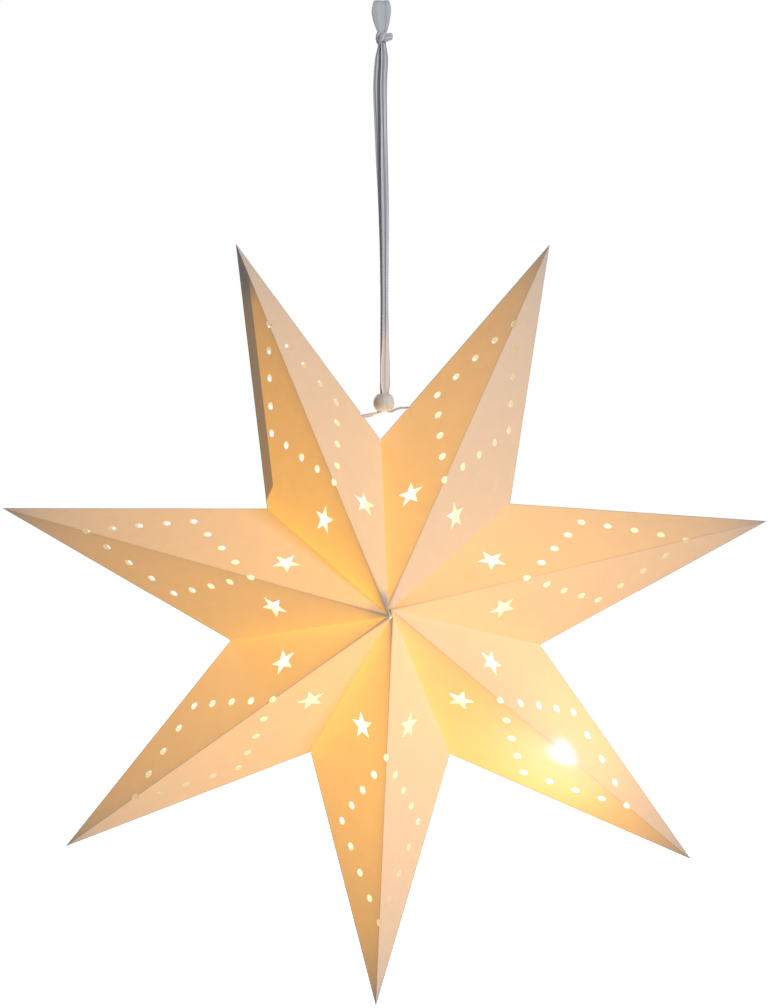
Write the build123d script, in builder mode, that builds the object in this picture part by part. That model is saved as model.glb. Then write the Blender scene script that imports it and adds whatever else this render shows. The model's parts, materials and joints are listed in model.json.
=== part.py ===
from build123d import *
import os
from math import asin, cos, degrees, radians, sin, sqrt, tan

# A seven-pointed folding star lantern of stiff punched paper. It hangs from a doubled satin
# ribbon with a wooden bead, and a battery lamp lies inside its lower right point.
# The origin is where a hook bears inside the ribbon's loop. +Z is up, the star faces -Y.

os.makedirs("parts", exist_ok=True)

# The star
tip_radius = 300.0          # star centre to the tip of a point
valley_radius = 121.5       # star centre to the outline between two points
half_depth = 106.0          # middle plane to the front or the back apex
paper = 0.4                 # card thickness
seam_azimuth = 91.0         # the open valley, anticlockwise from +X seen from the front
seam_left_half = 20.7       # from the seam to the ridge of the point on its left
seam_right_half = 25.5      # from the seam to the ridge of the point on its right
seam_gap = 1.0              # between the two end points, which only the ribbon closes
seam_valley_radius = 129.0  # star centre to the outline at the seam
flange_width = 6.0          # the turned-in strips along which neighbouring points are glued
flange_start = 12.0         # from an apex to where a flange begins
flange_stop = 4.0           # from the outline to where a flange ends
flange_slant = 5.0          # how far a flange's ends are cut back
tab_width = 11.0            # the strip that closes a point, glued along its outline
tab_tip = 5.0               # from the tip to where the tab begins
tab_taper = 24.0            # the tab's long cut towards the tip
tab_stop = 5.0              # from the valley to where the tab ends
tab_slant = 8.0             # the tab's short cut towards the valley

# The punched pattern, as shares of the fold from apex to tip and from apex to valley
dot_diameter = 6.0
ridge_dots = [0.776, 0.349]
facet_dots = [
    (0.665, 0.143),
    (0.553, 0.281),
    (0.440, 0.416),
    (0.331, 0.544),
    (0.331, 0.422),
    (0.335, 0.288),
    (0.342, 0.149),
]
cutout_place = (0.158, 0.326)
cutout_radius = 11.2        # centre to tip of a small star
cutout_waist = 0.40         # inner corners as a share of that radius
cutout_turn = 25.1          # one tip's angle from the ridge

# The ribbon and the bead
hang_drop = 301.5           # hook to the bead's centre
bead_height = 157.5         # star centre to the bead's centre
ribbon_width = 7.0
ribbon_thickness = 0.4
ribbon_gap = 0.1            # between the two strands
loop_width = 14.7           # across the spread ribbon at the top of the loop
loop_height = 22.7
loop_radius = 3.5           # inside, where the hook bears
knot_width = 9.4
knot_height = 10.0
knot_tail = 8.0             # the knot's centre to the end of its tail
knot_tail_diameter = 5.4
bead_diameter = 16.0
bead_bore = 8.0
bead_lip = 0.8
tie_diameter = 2.5          # the ribbon gathered to a cord
tie_offset = 1.4            # each gathered end beside the centre line
tie_clearance = 0.5         # between a gathered end and the bead's lower rim
tie_hole_clearance = 0.7    # round the cord in its hole
tie_left_from_valley = 22.5     # along the outline crease from the valley to the left hole
tie_right_from_valley = 32.0    # the same on the right, which hangs a little higher
stop_knot_diameter = 6.0

# The lamp, measured along its own axis from the globe's centre
globe_diameter = 55.0
globe_wall = 1.2
lamp_lean = 21.9            # towards the lower side of the point, where it rests on the flanges
housing_diameter = 30.0
housing_wall = 1.2
fit_gap = 0.3               # between pieces that are put together by hand
neck_engagement = 4.0       # the globe's neck inside the housing
board_thickness = 1.2
bulkhead = 1.5
led_size = 3.0
led_height = 0.8
led_circle = 2.6            # centre line of the lamp to an emitter's centre
pipe_diameter = 8.0
pipe_foot_diameter = 17.0
pipe_foot_height = 2.4
pipe_wall = 1.0
core_diameter = 16.0        # the frosted ball at the globe's centre
screw_circle = 10.6
screw_shank = 1.6
screw_head = 3.0
screw_head_height = 1.0
screw_slot = 0.5
cell_diameter = 10.5
cell_length = 44.5
cell_nub = 3.8
cell_nub_height = 0.8
cell_gap = 1.97             # between two neighbouring cells
cage_disc = 1.5
cage_disc_clearance = 0.4
cage_post = 3.0
contact_thickness = 0.4
contact_diameter = 7.0
spring_height = 3.0
spring_width = 3.6
cap_flange = 2.7
cap_sleeve = 4.3
cap_wall = 1.4
cap_running_gap = 0.3
lug_width = 3.0
lug_height = 2.0
lug_reach = 0.85            # into the housing's wall
lug_from_rim = 2.1          # the housing's rim to the lug's near face
cap_turn = 38.0             # from locked to where the cap pulls off
coin_slot_length = 17.0
coin_slot_width = 2.0
coin_slot_depth = 1.3
switch_width = 5.0
switch_height = 4.6
switch_length = 10.0
switch_position = 9.0       # lower ends of the cells to the switch
knob_width = 2.4
knob_length = 3.0
knob_stem = 2.0
knob_bed = 1.0              # how deep the knob's foot lies in the switch
knob_reach = 1.3            # beyond the housing
switch_travel = 3.0
lead_diameter = 1.2
lead_circle = 5.2

point_names = [
    "point_upper_right",
    "point_right",
    "point_lower_right",
    "point_bottom",
    "point_lower_left",
    "point_left",
    "point_upper_left",
]

# The points between the two end ones are alike and share what is left of the circle.
end_index = len(point_names) - 1
regular_half = (360.0 - seam_left_half - seam_right_half) / (2 * end_index)
point_azimuths = [
    seam_azimuth - seam_right_half - 2 * regular_half * index for index in range(end_index + 1)
]
lamp_index = point_names.index("point_lower_right")
star_height = -(hang_drop + bead_height)


def star_point(radius, azimuth, forward=0.0):
    """A point by its distance from the star's axis, its azimuth and its way to the front."""
    return Vector(
        radius * cos(radians(azimuth)),
        -forward,
        star_height + radius * sin(radians(azimuth)),
    )


def star_direction(azimuth):
    return Vector(cos(radians(azimuth)), 0, sin(radians(azimuth)))


front_apex = star_point(0, 0, half_depth)
back_apex = star_point(0, 0, -half_depth)


def facet_plane(apex, tip, valley):
    """The plane of a facet, from its apex along the ridge, with the valley on the Y side."""
    return Plane(origin=apex, x_dir=tip - apex, z_dir=(tip - apex).cross(valley - apex))


def facing_out(plane, inside):
    return plane if (inside - plane.origin).dot(plane.z_dir) < 0 else -plane


def point_space(facets, sides, inside, inset):
    """The space inside a point, with its four facets moved in by inset."""
    with BuildPart(Plane(origin=star_point(0, 0))) as space:
        Box(2 * tip_radius, 2 * half_depth, 2 * tip_radius)
        for facet in facets:
            cut = facing_out(facet_plane(*facet), inside).offset(-inset)
            split(bisect_by=cut, keep=Keep.BOTTOM)
        for side in sides:
            split(bisect_by=facing_out(side, inside), keep=Keep.BOTTOM)
    return space.part


def flange_outline(radius):
    """Draws a glue flange along the fold from the front apex to the valley at this radius."""
    fold = sqrt(radius ** 2 + half_depth ** 2)
    along = Vector(radius, -half_depth) / fold
    inward = Vector(-half_depth, -radius) / fold
    apex = Vector(0, half_depth)
    stop = fold - flange_stop
    Polygon(
        apex + along * flange_start - inward * paper,
        apex + along * stop - inward * paper,
        apex + along * stop,
        apex + along * (stop - flange_slant) + inward * flange_width,
        apex + along * (flange_start + flange_slant) + inward * flange_width,
        apex + along * flange_start,
        align=None,
    )


def tab_outline(plane, tip, valley):
    """Draws the closing tab on its facet, along the outline from the tip to the valley."""
    start = plane.to_local_coords(tip)
    along = (plane.to_local_coords(valley) - start).normalized()
    length = (valley - tip).length
    inward = Vector(along.Y, -along.X)
    inward = inward if inward.dot(start) < 0 else -inward
    Polygon(
        start + along * tab_tip,
        start + along * (length - tab_stop),
        start + along * (length - tab_stop - tab_slant) + inward * tab_width,
        start + along * (tab_tip + tab_taper) + inward * tab_width,
        align=None,
    )


def punched_pattern(ridge_length, valley):
    """Draws one facet's holes: dots on the ridge, dots in a triangle, and a small star."""
    ridge = Vector(ridge_length, 0)
    with Locations(*[ridge * share for share in ridge_dots]):
        Circle(dot_diameter / 2)
    with Locations(*[ridge * a + valley * b for a, b in facet_dots]):
        Circle(dot_diameter / 2)
    centre = ridge * cutout_place[0] + valley * cutout_place[1]
    corners = []
    for corner in range(10):
        reach = cutout_radius * (1 if corner % 2 == 0 else cutout_waist)
        turn = radians(cutout_turn + 36 * corner)
        corners.append(centre + Vector(cos(turn), sin(turn)) * reach)
    Polygon(*corners, align=None)


def tie_hole(valley, tip, distance):
    return valley + (tip - valley).normalized() * distance


def tie_corner(side):
    """Where a gathered end turns out from under the bead, on the left for -1, the right for 1."""
    rim = sqrt((bead_diameter / 2) ** 2 - (bead_bore / 2) ** 2)
    drop = hang_drop + rim + tie_diameter / 2 + tie_clearance
    return Vector(side * tie_offset, 0, -drop)


seam_valley = star_point(seam_valley_radius, seam_azimuth)
tie_holes = {
    -1: tie_hole(seam_valley, star_point(tip_radius, point_azimuths[end_index]), tie_left_from_valley),
    1: tie_hole(seam_valley, star_point(tip_radius, point_azimuths[0]), tie_right_from_valley),
}


def point_sheet(index):
    """One point: a folded sheet of four facets, closed by its tab, with four glue flanges."""
    azimuth = point_azimuths[index]
    left_half = seam_right_half if index == 0 else regular_half
    right_half = seam_left_half if index == end_index else regular_half
    tip = star_point(tip_radius, azimuth)
    inside = star_point(tip_radius / 3, azimuth)
    radii = [
        seam_valley_radius if index == 0 else valley_radius,
        seam_valley_radius if index == end_index else valley_radius,
    ]
    turns = [left_half, -right_half]
    valleys = [star_point(radius, azimuth + turn) for radius, turn in zip(radii, turns)]
    facets = [(apex, tip, valley) for apex in (front_apex, back_apex) for valley in valleys]
    sides = []
    for turn, at_seam in zip(turns, (index == 0, index == end_index)):
        along = star_direction(azimuth + turn)
        into = star_direction(azimuth + turn - 90 * (1 if turn > 0 else -1))
        side = Plane(origin=star_point(0, 0), x_dir=along, z_dir=into)
        sides.append(side.offset(seam_gap / 2 if at_seam else 0))
    outer = point_space(facets, sides, inside, 0)
    inner = point_space(facets, sides, inside, paper)

    with BuildPart() as turned_in:
        for side, radius in zip(sides, radii):
            with BuildSketch(side):
                flange_outline(radius)
                mirror(about=Plane.XZ)
            extrude(amount=paper)
        # The tab is glued inside the back facet, on the upper left point inside the front one.
        tab_facet = facets[0] if index == end_index else facets[2]
        tab_plane = facet_plane(*tab_facet)
        with BuildSketch(tab_plane):
            tab_outline(tab_plane, tip, tab_facet[2])
        extrude(amount=2 * paper, both=True)
        add(outer, mode=Mode.INTERSECT)

    with BuildPart() as sheet:
        add(outer)
        add(inner, mode=Mode.SUBTRACT)
        add(turned_in.part)
        for facet in facets:
            plane = facet_plane(*facet)
            with BuildSketch(plane):
                punched_pattern((tip - facet[0]).length, plane.to_local_coords(facet[2]))
            extrude(amount=3 * paper, both=True, mode=Mode.SUBTRACT)
        if index in (0, end_index):
            end = 1 if index == 0 else -1
            strand = tie_holes[end] - tie_corner(end)
            with BuildSketch(Plane(origin=tie_holes[end], z_dir=strand)):
                Circle(tie_diameter / 2 + tie_hole_clearance)
            extrude(amount=tie_diameter + stop_knot_diameter, both=True, mode=Mode.SUBTRACT)
    sheet.part.label = point_names[index]
    export_step(sheet.part, f"parts/{point_names[index]}.step")


for index in range(len(point_names)):
    point_sheet(index)

# The ribbon's loop: a band that is spread at the top and pinched where the knot begins.
loop_pinch = ribbon_thickness
with BuildPart() as ribbon_loop:
    with BuildSketch(Plane.YZ):
        with Locations((0, -loop_radius)):
            Circle(loop_radius + ribbon_thickness)
        with Locations((0, -loop_height)):
            Circle(loop_pinch + ribbon_thickness)
        make_hull()
    extrude(amount=loop_width / 2, both=True)
    with BuildSketch(Plane.YZ):
        with Locations((0, -loop_radius)):
            Circle(loop_radius)
        with Locations((0, -loop_height)):
            Circle(loop_pinch)
        make_hull()
    extrude(amount=loop_width / 2, both=True, mode=Mode.SUBTRACT)
    with BuildSketch(Plane.XZ):
        with BuildLine():
            Polyline(
                (-loop_width / 3, ribbon_thickness),
                (loop_width / 3, ribbon_thickness),
                (loop_width / 2, -loop_radius),
                (loop_width / 2, -loop_height / 2),
                (ribbon_width / 2, -loop_height),
                (-ribbon_width / 2, -loop_height),
                (-loop_width / 2, -loop_height / 2),
                (-loop_width / 2, -loop_radius),
                close=True,
            )
        make_face()
    extrude(amount=loop_radius + 2 * ribbon_thickness, both=True, mode=Mode.INTERSECT)
ribbon_loop.part.label = "ribbon_loop"
export_step(ribbon_loop.part, "parts/ribbon_loop.step")

# The knot under the loop, with the tail of the ribbon standing out of it to the right.
knot_bottom = -(loop_height + knot_height)
with BuildPart(Plane.XY.offset(knot_bottom)) as ribbon_knot:
    Cylinder(knot_width / 2, knot_height, align=(Align.CENTER, Align.CENTER, Align.MIN))
    fillet(ribbon_knot.edges().filter_by(GeomType.CIRCLE), knot_height / 3)
    with BuildSketch(Plane.YZ):
        with Locations((0, knot_bottom + knot_height / 2)):
            Circle(knot_tail_diameter / 2)
    extrude(amount=knot_tail)
    fillet(ribbon_knot.edges().filter_by(GeomType.CIRCLE).sort_by(Axis.X)[-1], knot_tail_diameter / 5)
ribbon_knot.part.label = "ribbon_knot"
export_step(ribbon_knot.part, "parts/ribbon_knot.step")

# The two strands run flat on each other down through the bead. Under it each is gathered to
# a cord, turns out to its end point, enters the hole and ends in a knot inside the paper.
stop_knot_flat = sqrt((stop_knot_diameter / 2) ** 2 - (tie_diameter / 2) ** 2)


def ribbon_end(side, name):
    corner = tie_corner(side)
    hole = tie_holes[side]
    out = (hole - corner).normalized()
    start = Vector(corner.X, 0, -hang_drop)
    run = (start - corner).length
    turn = (corner - start).get_angle(out)
    bend = 0.45 * run / tan(radians(turn / 2))
    azimuth = point_azimuths[0 if side > 0 else end_index]
    facet = facet_plane(front_apex, star_point(tip_radius, azimuth), seam_valley)
    lean = abs(facet.z_dir.dot(out))
    knot_centre = hole + out * ((stop_knot_diameter / 2 + 2 * paper + fit_gap) / lean)
    knot_face = knot_centre - out * stop_knot_flat
    print(name, "turns", round(turn, 1), "degrees on a radius of", round(bend, 2))

    with BuildPart() as strand:
        flat_length = -start.Z + knot_bottom
        flat_y = side * (ribbon_gap + ribbon_thickness) / 2
        with BuildSketch(Plane.XY.offset(start.Z)):
            with Locations((0, flat_y)):
                Rectangle(ribbon_width, ribbon_thickness)
        extrude(amount=flat_length)
        with BuildLine():
            FilletPolyline(start, corner, knot_face, radius=bend)
        with BuildSketch(Plane(origin=start, z_dir=(0, 0, -1))):
            Circle(tie_diameter / 2)
        sweep()
    strand.part.label = name
    export_step(strand.part, f"parts/{name}.step")

    knot_name = name + "_stop_knot"
    with BuildPart(Plane(origin=knot_centre, z_dir=-out)) as stop_knot:
        Sphere(stop_knot_diameter / 2)
        split(bisect_by=Plane(origin=knot_face, z_dir=-out), keep=Keep.BOTTOM)
    stop_knot.part.label = knot_name
    export_step(stop_knot.part, f"parts/{knot_name}.step")


ribbon_end(-1, "ribbon_left")
ribbon_end(1, "ribbon_right")

with BuildPart(Plane.XY.offset(-hang_drop)) as bead:
    Sphere(bead_diameter / 2)
    Hole(bead_bore / 2)
    fillet(bead.edges().filter_by(GeomType.CIRCLE), bead_lip)
bead.part.label = "bead"
export_step(bead.part, "parts/bead.step")

# The lamp's frame: the globe is wedged between the four facets of its point. X looks to the
# front, Y up, and Z from the globe along the housing to its cap.
lamp_azimuth = point_azimuths[lamp_index]
lamp_facet = facet_plane(
    front_apex,
    star_point(tip_radius, lamp_azimuth),
    star_point(valley_radius, lamp_azimuth + regular_half),
)
facet_slope = abs(lamp_facet.z_dir.dot(star_direction(lamp_azimuth)))
globe_place = tip_radius - (globe_diameter / 2 + fit_gap + paper) / facet_slope
globe_centre = star_point(globe_place, lamp_azimuth)
lamp_plane = Plane(
    origin=globe_centre,
    x_dir=(0, -1, 0),
    z_dir=star_direction(lamp_azimuth + 180 + lamp_lean),
)
# A section through the lamp: X is the radius, Y the way along the lamp.
section_plane = Plane(origin=globe_centre, x_dir=lamp_plane.x_dir, z_dir=-lamp_plane.y_dir)
lamp_axis = Axis(globe_centre, lamp_plane.z_dir)

housing_radius = housing_diameter / 2
bore_radius = housing_radius - housing_wall
neck_radius = bore_radius - fit_gap / 2
housing_start = sqrt((globe_diameter / 2) ** 2 - bore_radius ** 2) + fit_gap
neck_end = housing_start + neck_engagement
bulkhead_start = neck_end + board_thickness
bay_start = bulkhead_start + bulkhead
contact_start = bay_start + cage_disc
cells_start = contact_start + contact_thickness
cells_end = cells_start + cell_length
upper_disc_start = cells_end + spring_height
sleeve_start = upper_disc_start + cage_disc
housing_end = sleeve_start + cap_sleeve
cell_circle = (cell_diameter + cell_gap) / sqrt(3)
cage_radius = bore_radius - cage_disc_clearance
along_up = (Align.CENTER, Align.CENTER, Align.MIN)
along_down = (Align.CENTER, Align.CENTER, Align.MAX)


def cell_places(turn=0):
    """The three cells' places: one at the bottom, the gap for the switch at the top."""
    return PolarLocations(cell_circle, 3, start_angle=-90 + turn)


with BuildPart(lamp_plane) as lamp_globe:
    Sphere(globe_diameter / 2)
    Cylinder(neck_radius, neck_end, align=along_up)
    Sphere(globe_diameter / 2 - globe_wall, mode=Mode.SUBTRACT)
    Cylinder(neck_radius - globe_wall, neck_end, align=along_up, mode=Mode.SUBTRACT)
lamp_globe.part.label = "lamp_globe"
export_step(lamp_globe.part, "parts/lamp_globe.step")

# The light pipe stands over the emitters and ends in the frosted ball.
foot_radius = pipe_foot_diameter / 2
foot_top = neck_end - pipe_foot_height
with BuildPart(lamp_plane) as light_pipe:
    Sphere(core_diameter / 2)
    Cylinder(pipe_diameter / 2, foot_top, align=along_up)
    with Locations((0, 0, foot_top)):
        Cylinder(foot_radius, pipe_foot_height, align=along_up)
    with Locations((0, 0, foot_top + pipe_wall)):
        Cylinder(
            foot_radius - pipe_wall,
            pipe_foot_height - pipe_wall,
            align=along_up,
            mode=Mode.SUBTRACT,
        )
light_pipe.part.label = "light_pipe"
export_step(light_pipe.part, "parts/light_pipe.step")

with BuildPart(lamp_plane.offset(neck_end)) as led_emitters:
    with PolarLocations(led_circle, 3):
        Box(led_size, led_size, led_height, align=along_down)
led_emitters.part.label = "led_emitters"
export_step(led_emitters.part, "parts/led_emitters.step")

board_radius = bore_radius - fit_gap / 2
lead_hole = lead_diameter / 2 + fit_gap / 2


def screw_places():
    return PolarLocations(screw_circle, 2, start_angle=90)


with BuildPart(lamp_plane.offset(neck_end)) as led_board:
    Cylinder(board_radius, board_thickness, align=along_up)
    with screw_places():
        Hole(screw_shank / 2 + fit_gap / 2)
led_board.part.label = "led_board"
export_step(led_board.part, "parts/led_board.step")

with BuildPart(lamp_plane.offset(neck_end)) as board_screws:
    with screw_places():
        Cylinder(screw_shank / 2, board_thickness + bulkhead, align=along_up)
        Cylinder(screw_head / 2, screw_head_height, align=along_down)
    with BuildSketch(lamp_plane.offset(neck_end - screw_head_height)):
        with screw_places():
            Rectangle(screw_slot, screw_head)
    extrude(amount=screw_head_height / 2, mode=Mode.SUBTRACT)
board_screws.part.label = "board_screws"
export_step(board_screws.part, "parts/board_screws.step")

# The housing is one tube with a bulkhead under the board, a slot for the switch knob on its
# upper side, and two bayonet slots at the cap's end.
switch_start = cells_start + switch_position
knob_start = switch_start + (switch_length - knob_length - switch_travel) / 2
lug_start = housing_end - lug_from_rim - lug_height
slot_low = lug_start - fit_gap
slot_height = lug_height + 2 * fit_gap
lug_spread = degrees(asin(lug_width / 2 / bore_radius))
slot_margin = degrees(asin(fit_gap / bore_radius))
with BuildPart(lamp_plane) as lamp_housing:
    with Locations((0, 0, housing_start)):
        Cylinder(housing_radius, housing_end - housing_start, align=along_up)
        Cylinder(bore_radius, bulkhead_start - housing_start, align=along_up, mode=Mode.SUBTRACT)
    with Locations((0, 0, bay_start)):
        Cylinder(bore_radius, housing_end - bay_start, align=along_up, mode=Mode.SUBTRACT)
    chamfer(
        lamp_housing.edges().filter_by(GeomType.CIRCLE).sort_by(lamp_axis)[:1],
        housing_wall / 4,
    )
    with BuildSketch(lamp_plane.offset(bulkhead_start)):
        with screw_places():
            Circle(screw_shank / 2)
        with Locations((lead_circle, 0), (-lead_circle, 0)):
            Circle(lead_hole)
    extrude(amount=bulkhead, mode=Mode.SUBTRACT)
    with Locations((0, housing_radius, knob_start - fit_gap)):
        Box(
            knob_stem + 2 * fit_gap,
            4 * housing_wall,
            knob_length + switch_travel + 2 * fit_gap,
            align=along_up,
            mode=Mode.SUBTRACT,
        )
    for opposite in (0, 180):
        start = opposite - lug_spread - slot_margin
        with BuildSketch(section_plane, mode=Mode.PRIVATE) as lug_path:
            with Locations((bore_radius + housing_wall / 2, slot_low)):
                Rectangle(2 * housing_wall, slot_height, align=(Align.CENTER, Align.MIN))
        revolve(
            lug_path.sketch.rotate(lamp_axis, start),
            axis=lamp_axis,
            revolution_arc=cap_turn + 2 * (lug_spread + slot_margin),
            mode=Mode.SUBTRACT,
        )
        with BuildSketch(section_plane, mode=Mode.PRIVATE) as lug_entry:
            with Locations((bore_radius + housing_wall / 2, slot_low)):
                Rectangle(
                    2 * housing_wall,
                    housing_end - slot_low,
                    align=(Align.CENTER, Align.MIN),
                )
        revolve(
            lug_entry.sketch.rotate(lamp_axis, start + cap_turn),
            axis=lamp_axis,
            revolution_arc=2 * (lug_spread + slot_margin),
            mode=Mode.SUBTRACT,
        )
lamp_housing.part.label = "lamp_housing"
export_step(lamp_housing.part, "parts/lamp_housing.step")

# The battery cage: two discs on a middle post, with the three cells round it.
with BuildPart(lamp_plane) as battery_cage:
    with Locations((0, 0, bay_start), (0, 0, upper_disc_start)):
        Cylinder(cage_radius, cage_disc, align=along_up)
    with Locations((0, 0, bay_start)):
        Cylinder(cage_post / 2, upper_disc_start - bay_start, align=along_up)
    with BuildSketch(lamp_plane.offset(bay_start)):
        with Locations((lead_circle, 0), (-lead_circle, 0)):
            Circle(lead_hole)
    extrude(amount=cage_disc, mode=Mode.SUBTRACT)
battery_cage.part.label = "battery_cage"
export_step(battery_cage.part, "parts/battery_cage.step")

for number in range(3):
    with BuildPart(lamp_plane.offset(cells_start)) as battery_cell:
        with PolarLocations(cell_circle, 1, start_angle=-90 + 120 * number):
            Cylinder(cell_diameter / 2, cell_length - cell_nub_height, align=along_up)
            Cylinder(cell_nub / 2, cell_length, align=along_up)
        rims = battery_cell.edges().filter_by(GeomType.CIRCLE)
        fillet(rims.group_by(SortBy.RADIUS)[-1], cell_nub_height / 2)
    battery_cell.part.label = f"battery_cell_{number + 1}"
    export_step(battery_cell.part, f"parts/battery_cell_{number + 1}.step")

with BuildPart(lamp_plane.offset(contact_start)) as contact_plates:
    with cell_places():
        Cylinder(contact_diameter / 2, contact_thickness, align=along_up)
contact_plates.part.label = "contact_plates"
export_step(contact_plates.part, "parts/contact_plates.step")

# Each contact spring is a folded leaf between a cell's nub and the upper disc.
leaf_run = contact_diameter / 2 - contact_thickness
with BuildPart() as contact_springs:
    for number in range(3):
        turn = -90 + 120 * number
        leaf_place = lamp_plane.from_local_coords(
            (cell_circle * cos(radians(turn)), cell_circle * sin(radians(turn)), cells_end)
        )
        leaf_plane = Plane(
            origin=leaf_place,
            x_dir=lamp_plane.x_dir,
            z_dir=-lamp_plane.y_dir,
        )
        with BuildSketch(leaf_plane):
            with BuildLine():
                Polyline(
                    (-leaf_run, spring_height),
                    (leaf_run, spring_height),
                    (leaf_run, spring_height - contact_thickness),
                    (contact_thickness * 2, contact_thickness),
                    (contact_thickness, 0),
                    (-contact_thickness, 0),
                    (-contact_thickness * 2, contact_thickness),
                    (0, contact_thickness),
                    (leaf_run - contact_thickness * 4, spring_height - contact_thickness),
                    (-leaf_run, spring_height - contact_thickness),
                    close=True,
                )
            make_face()
        extrude(amount=spring_width / 2, both=True)
contact_springs.part.label = "contact_springs"
export_step(contact_springs.part, "parts/contact_springs.step")

# Two short leads pass from the board through the bulkhead to the contact plates.
for side, name in ((1, "lead_red"), (-1, "lead_black")):
    lead_start = lamp_plane.from_local_coords((side * lead_circle, 0, bulkhead_start))
    with BuildPart() as lead:
        with BuildSketch(Plane(origin=lead_start, z_dir=lamp_plane.z_dir)):
            Circle(lead_diameter / 2)
        extrude(amount=contact_start - bulkhead_start)
    lead.part.label = name
    export_step(lead.part, f"parts/{name}.step")

# The switch sits under the housing's upper side, in the gap between two cells.
switch_top = sqrt(bore_radius ** 2 - (switch_width / 2) ** 2)
with BuildPart(lamp_plane) as switch_body:
    with Locations((0, switch_top - switch_height / 2, switch_start)):
        Box(switch_width, switch_height, switch_length, align=along_up)
    with Locations((0, switch_top, knob_start - fit_gap)):
        Box(
            knob_width + 2 * fit_gap,
            2 * (knob_bed + fit_gap),
            knob_length + switch_travel + 2 * fit_gap,
            align=along_up,
            mode=Mode.SUBTRACT,
        )
switch_body.part.label = "switch_body"
export_step(switch_body.part, "parts/switch_body.step")

knob_low = switch_top - knob_bed
knob_high = housing_radius + knob_reach
with BuildPart(lamp_plane.offset(knob_start)) as switch_knob:
    with Locations((0, (knob_low + switch_top - fit_gap) / 2, 0)):
        Box(knob_width, switch_top - fit_gap - knob_low, knob_length, align=along_up)
    with Locations((0, (knob_low + knob_high) / 2, 0)):
        Box(knob_stem, knob_high - knob_low, knob_length, align=along_up)
    knob_top = switch_knob.faces().sort_by(Axis(globe_centre, lamp_plane.y_dir))[-1]
    fillet(knob_top.edges(), knob_reach / 4)
switch_knob.part.label = "switch_knob"
export_step(switch_knob.part, "parts/switch_knob.step")

# The cap: a flange over the housing's end, a sleeve inside it, and two bayonet lugs.
sleeve_radius = bore_radius - cap_running_gap
sleeve_low = sleeve_start + fit_gap
cap_low = housing_end + fit_gap
cap_high = cap_low + cap_flange
with BuildPart(lamp_plane) as battery_cap:
    with Locations((0, 0, cap_low)):
        Cylinder(housing_radius, cap_flange, align=along_up)
    fillet(
        battery_cap.edges().filter_by(GeomType.CIRCLE).sort_by(lamp_axis)[-1],
        cap_flange / 3,
    )
    with Locations((0, 0, sleeve_low)):
        Cylinder(sleeve_radius, cap_low - sleeve_low, align=along_up)
    with Locations((0, 0, lug_start)):
        Box(2 * (bore_radius + lug_reach), lug_width, lug_height, align=along_up)
    with Locations((0, 0, sleeve_low)):
        Cylinder(
            sleeve_radius - cap_wall,
            cap_low - sleeve_low,
            align=along_up,
            mode=Mode.SUBTRACT,
        )
    with Locations((0, 0, cap_high)):
        Box(
            coin_slot_length,
            coin_slot_width,
            coin_slot_depth,
            align=along_down,
            mode=Mode.SUBTRACT,
        )
battery_cap.part.label = "battery_cap"
export_step(battery_cap.part, "parts/battery_cap.step")
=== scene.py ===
"""Dresses the frame of a paper star lantern: punched paper points, satin ribbon, bead and lamp.

Everything is in metres, in the frame's own axes: +Z up, the star's face towards -Y, and the
origin where a hook bears inside the ribbon's loop.
"""

import json
import logging
import math
from dataclasses import dataclass, field
from enum import Enum
from functools import cached_property

import bmesh
import bpy
import numpy as np
from mathutils import Matrix, Vector
from mathutils.geometry import delaunay_2d_cdt

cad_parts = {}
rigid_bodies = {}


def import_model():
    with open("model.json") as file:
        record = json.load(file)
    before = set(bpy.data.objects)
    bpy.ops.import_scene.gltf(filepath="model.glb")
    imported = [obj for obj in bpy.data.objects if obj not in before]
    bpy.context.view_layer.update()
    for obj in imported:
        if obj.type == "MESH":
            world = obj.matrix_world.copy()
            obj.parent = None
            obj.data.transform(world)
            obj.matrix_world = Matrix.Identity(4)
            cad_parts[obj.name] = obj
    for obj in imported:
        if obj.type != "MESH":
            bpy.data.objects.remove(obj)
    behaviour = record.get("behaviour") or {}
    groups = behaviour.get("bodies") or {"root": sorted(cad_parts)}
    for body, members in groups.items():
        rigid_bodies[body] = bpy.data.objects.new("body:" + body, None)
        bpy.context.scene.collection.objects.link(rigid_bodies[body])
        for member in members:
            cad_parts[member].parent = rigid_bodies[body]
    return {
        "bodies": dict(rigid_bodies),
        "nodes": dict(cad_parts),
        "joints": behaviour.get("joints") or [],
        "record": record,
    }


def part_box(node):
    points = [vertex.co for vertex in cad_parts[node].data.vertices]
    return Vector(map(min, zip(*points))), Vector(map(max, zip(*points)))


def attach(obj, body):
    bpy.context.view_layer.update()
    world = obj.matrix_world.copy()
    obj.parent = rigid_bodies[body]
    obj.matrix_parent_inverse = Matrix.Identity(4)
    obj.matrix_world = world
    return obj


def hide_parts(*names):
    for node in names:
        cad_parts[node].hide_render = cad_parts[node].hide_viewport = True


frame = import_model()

LOG = logging.getLogger("lantern")
MM = 0.001
SEED = 7
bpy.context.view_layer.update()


class Body(Enum):
    """The bodies of the frame on which pieces ride."""

    STAR = "star"
    BEAD = "bead"


class Side(Enum):
    """The side of the middle on which something lies, seen from the front."""

    LEFT = -1
    RIGHT = 1


class Face(Enum):
    """The face of the star on which a facet lies."""

    FRONT = 1
    BACK = -1


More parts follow.
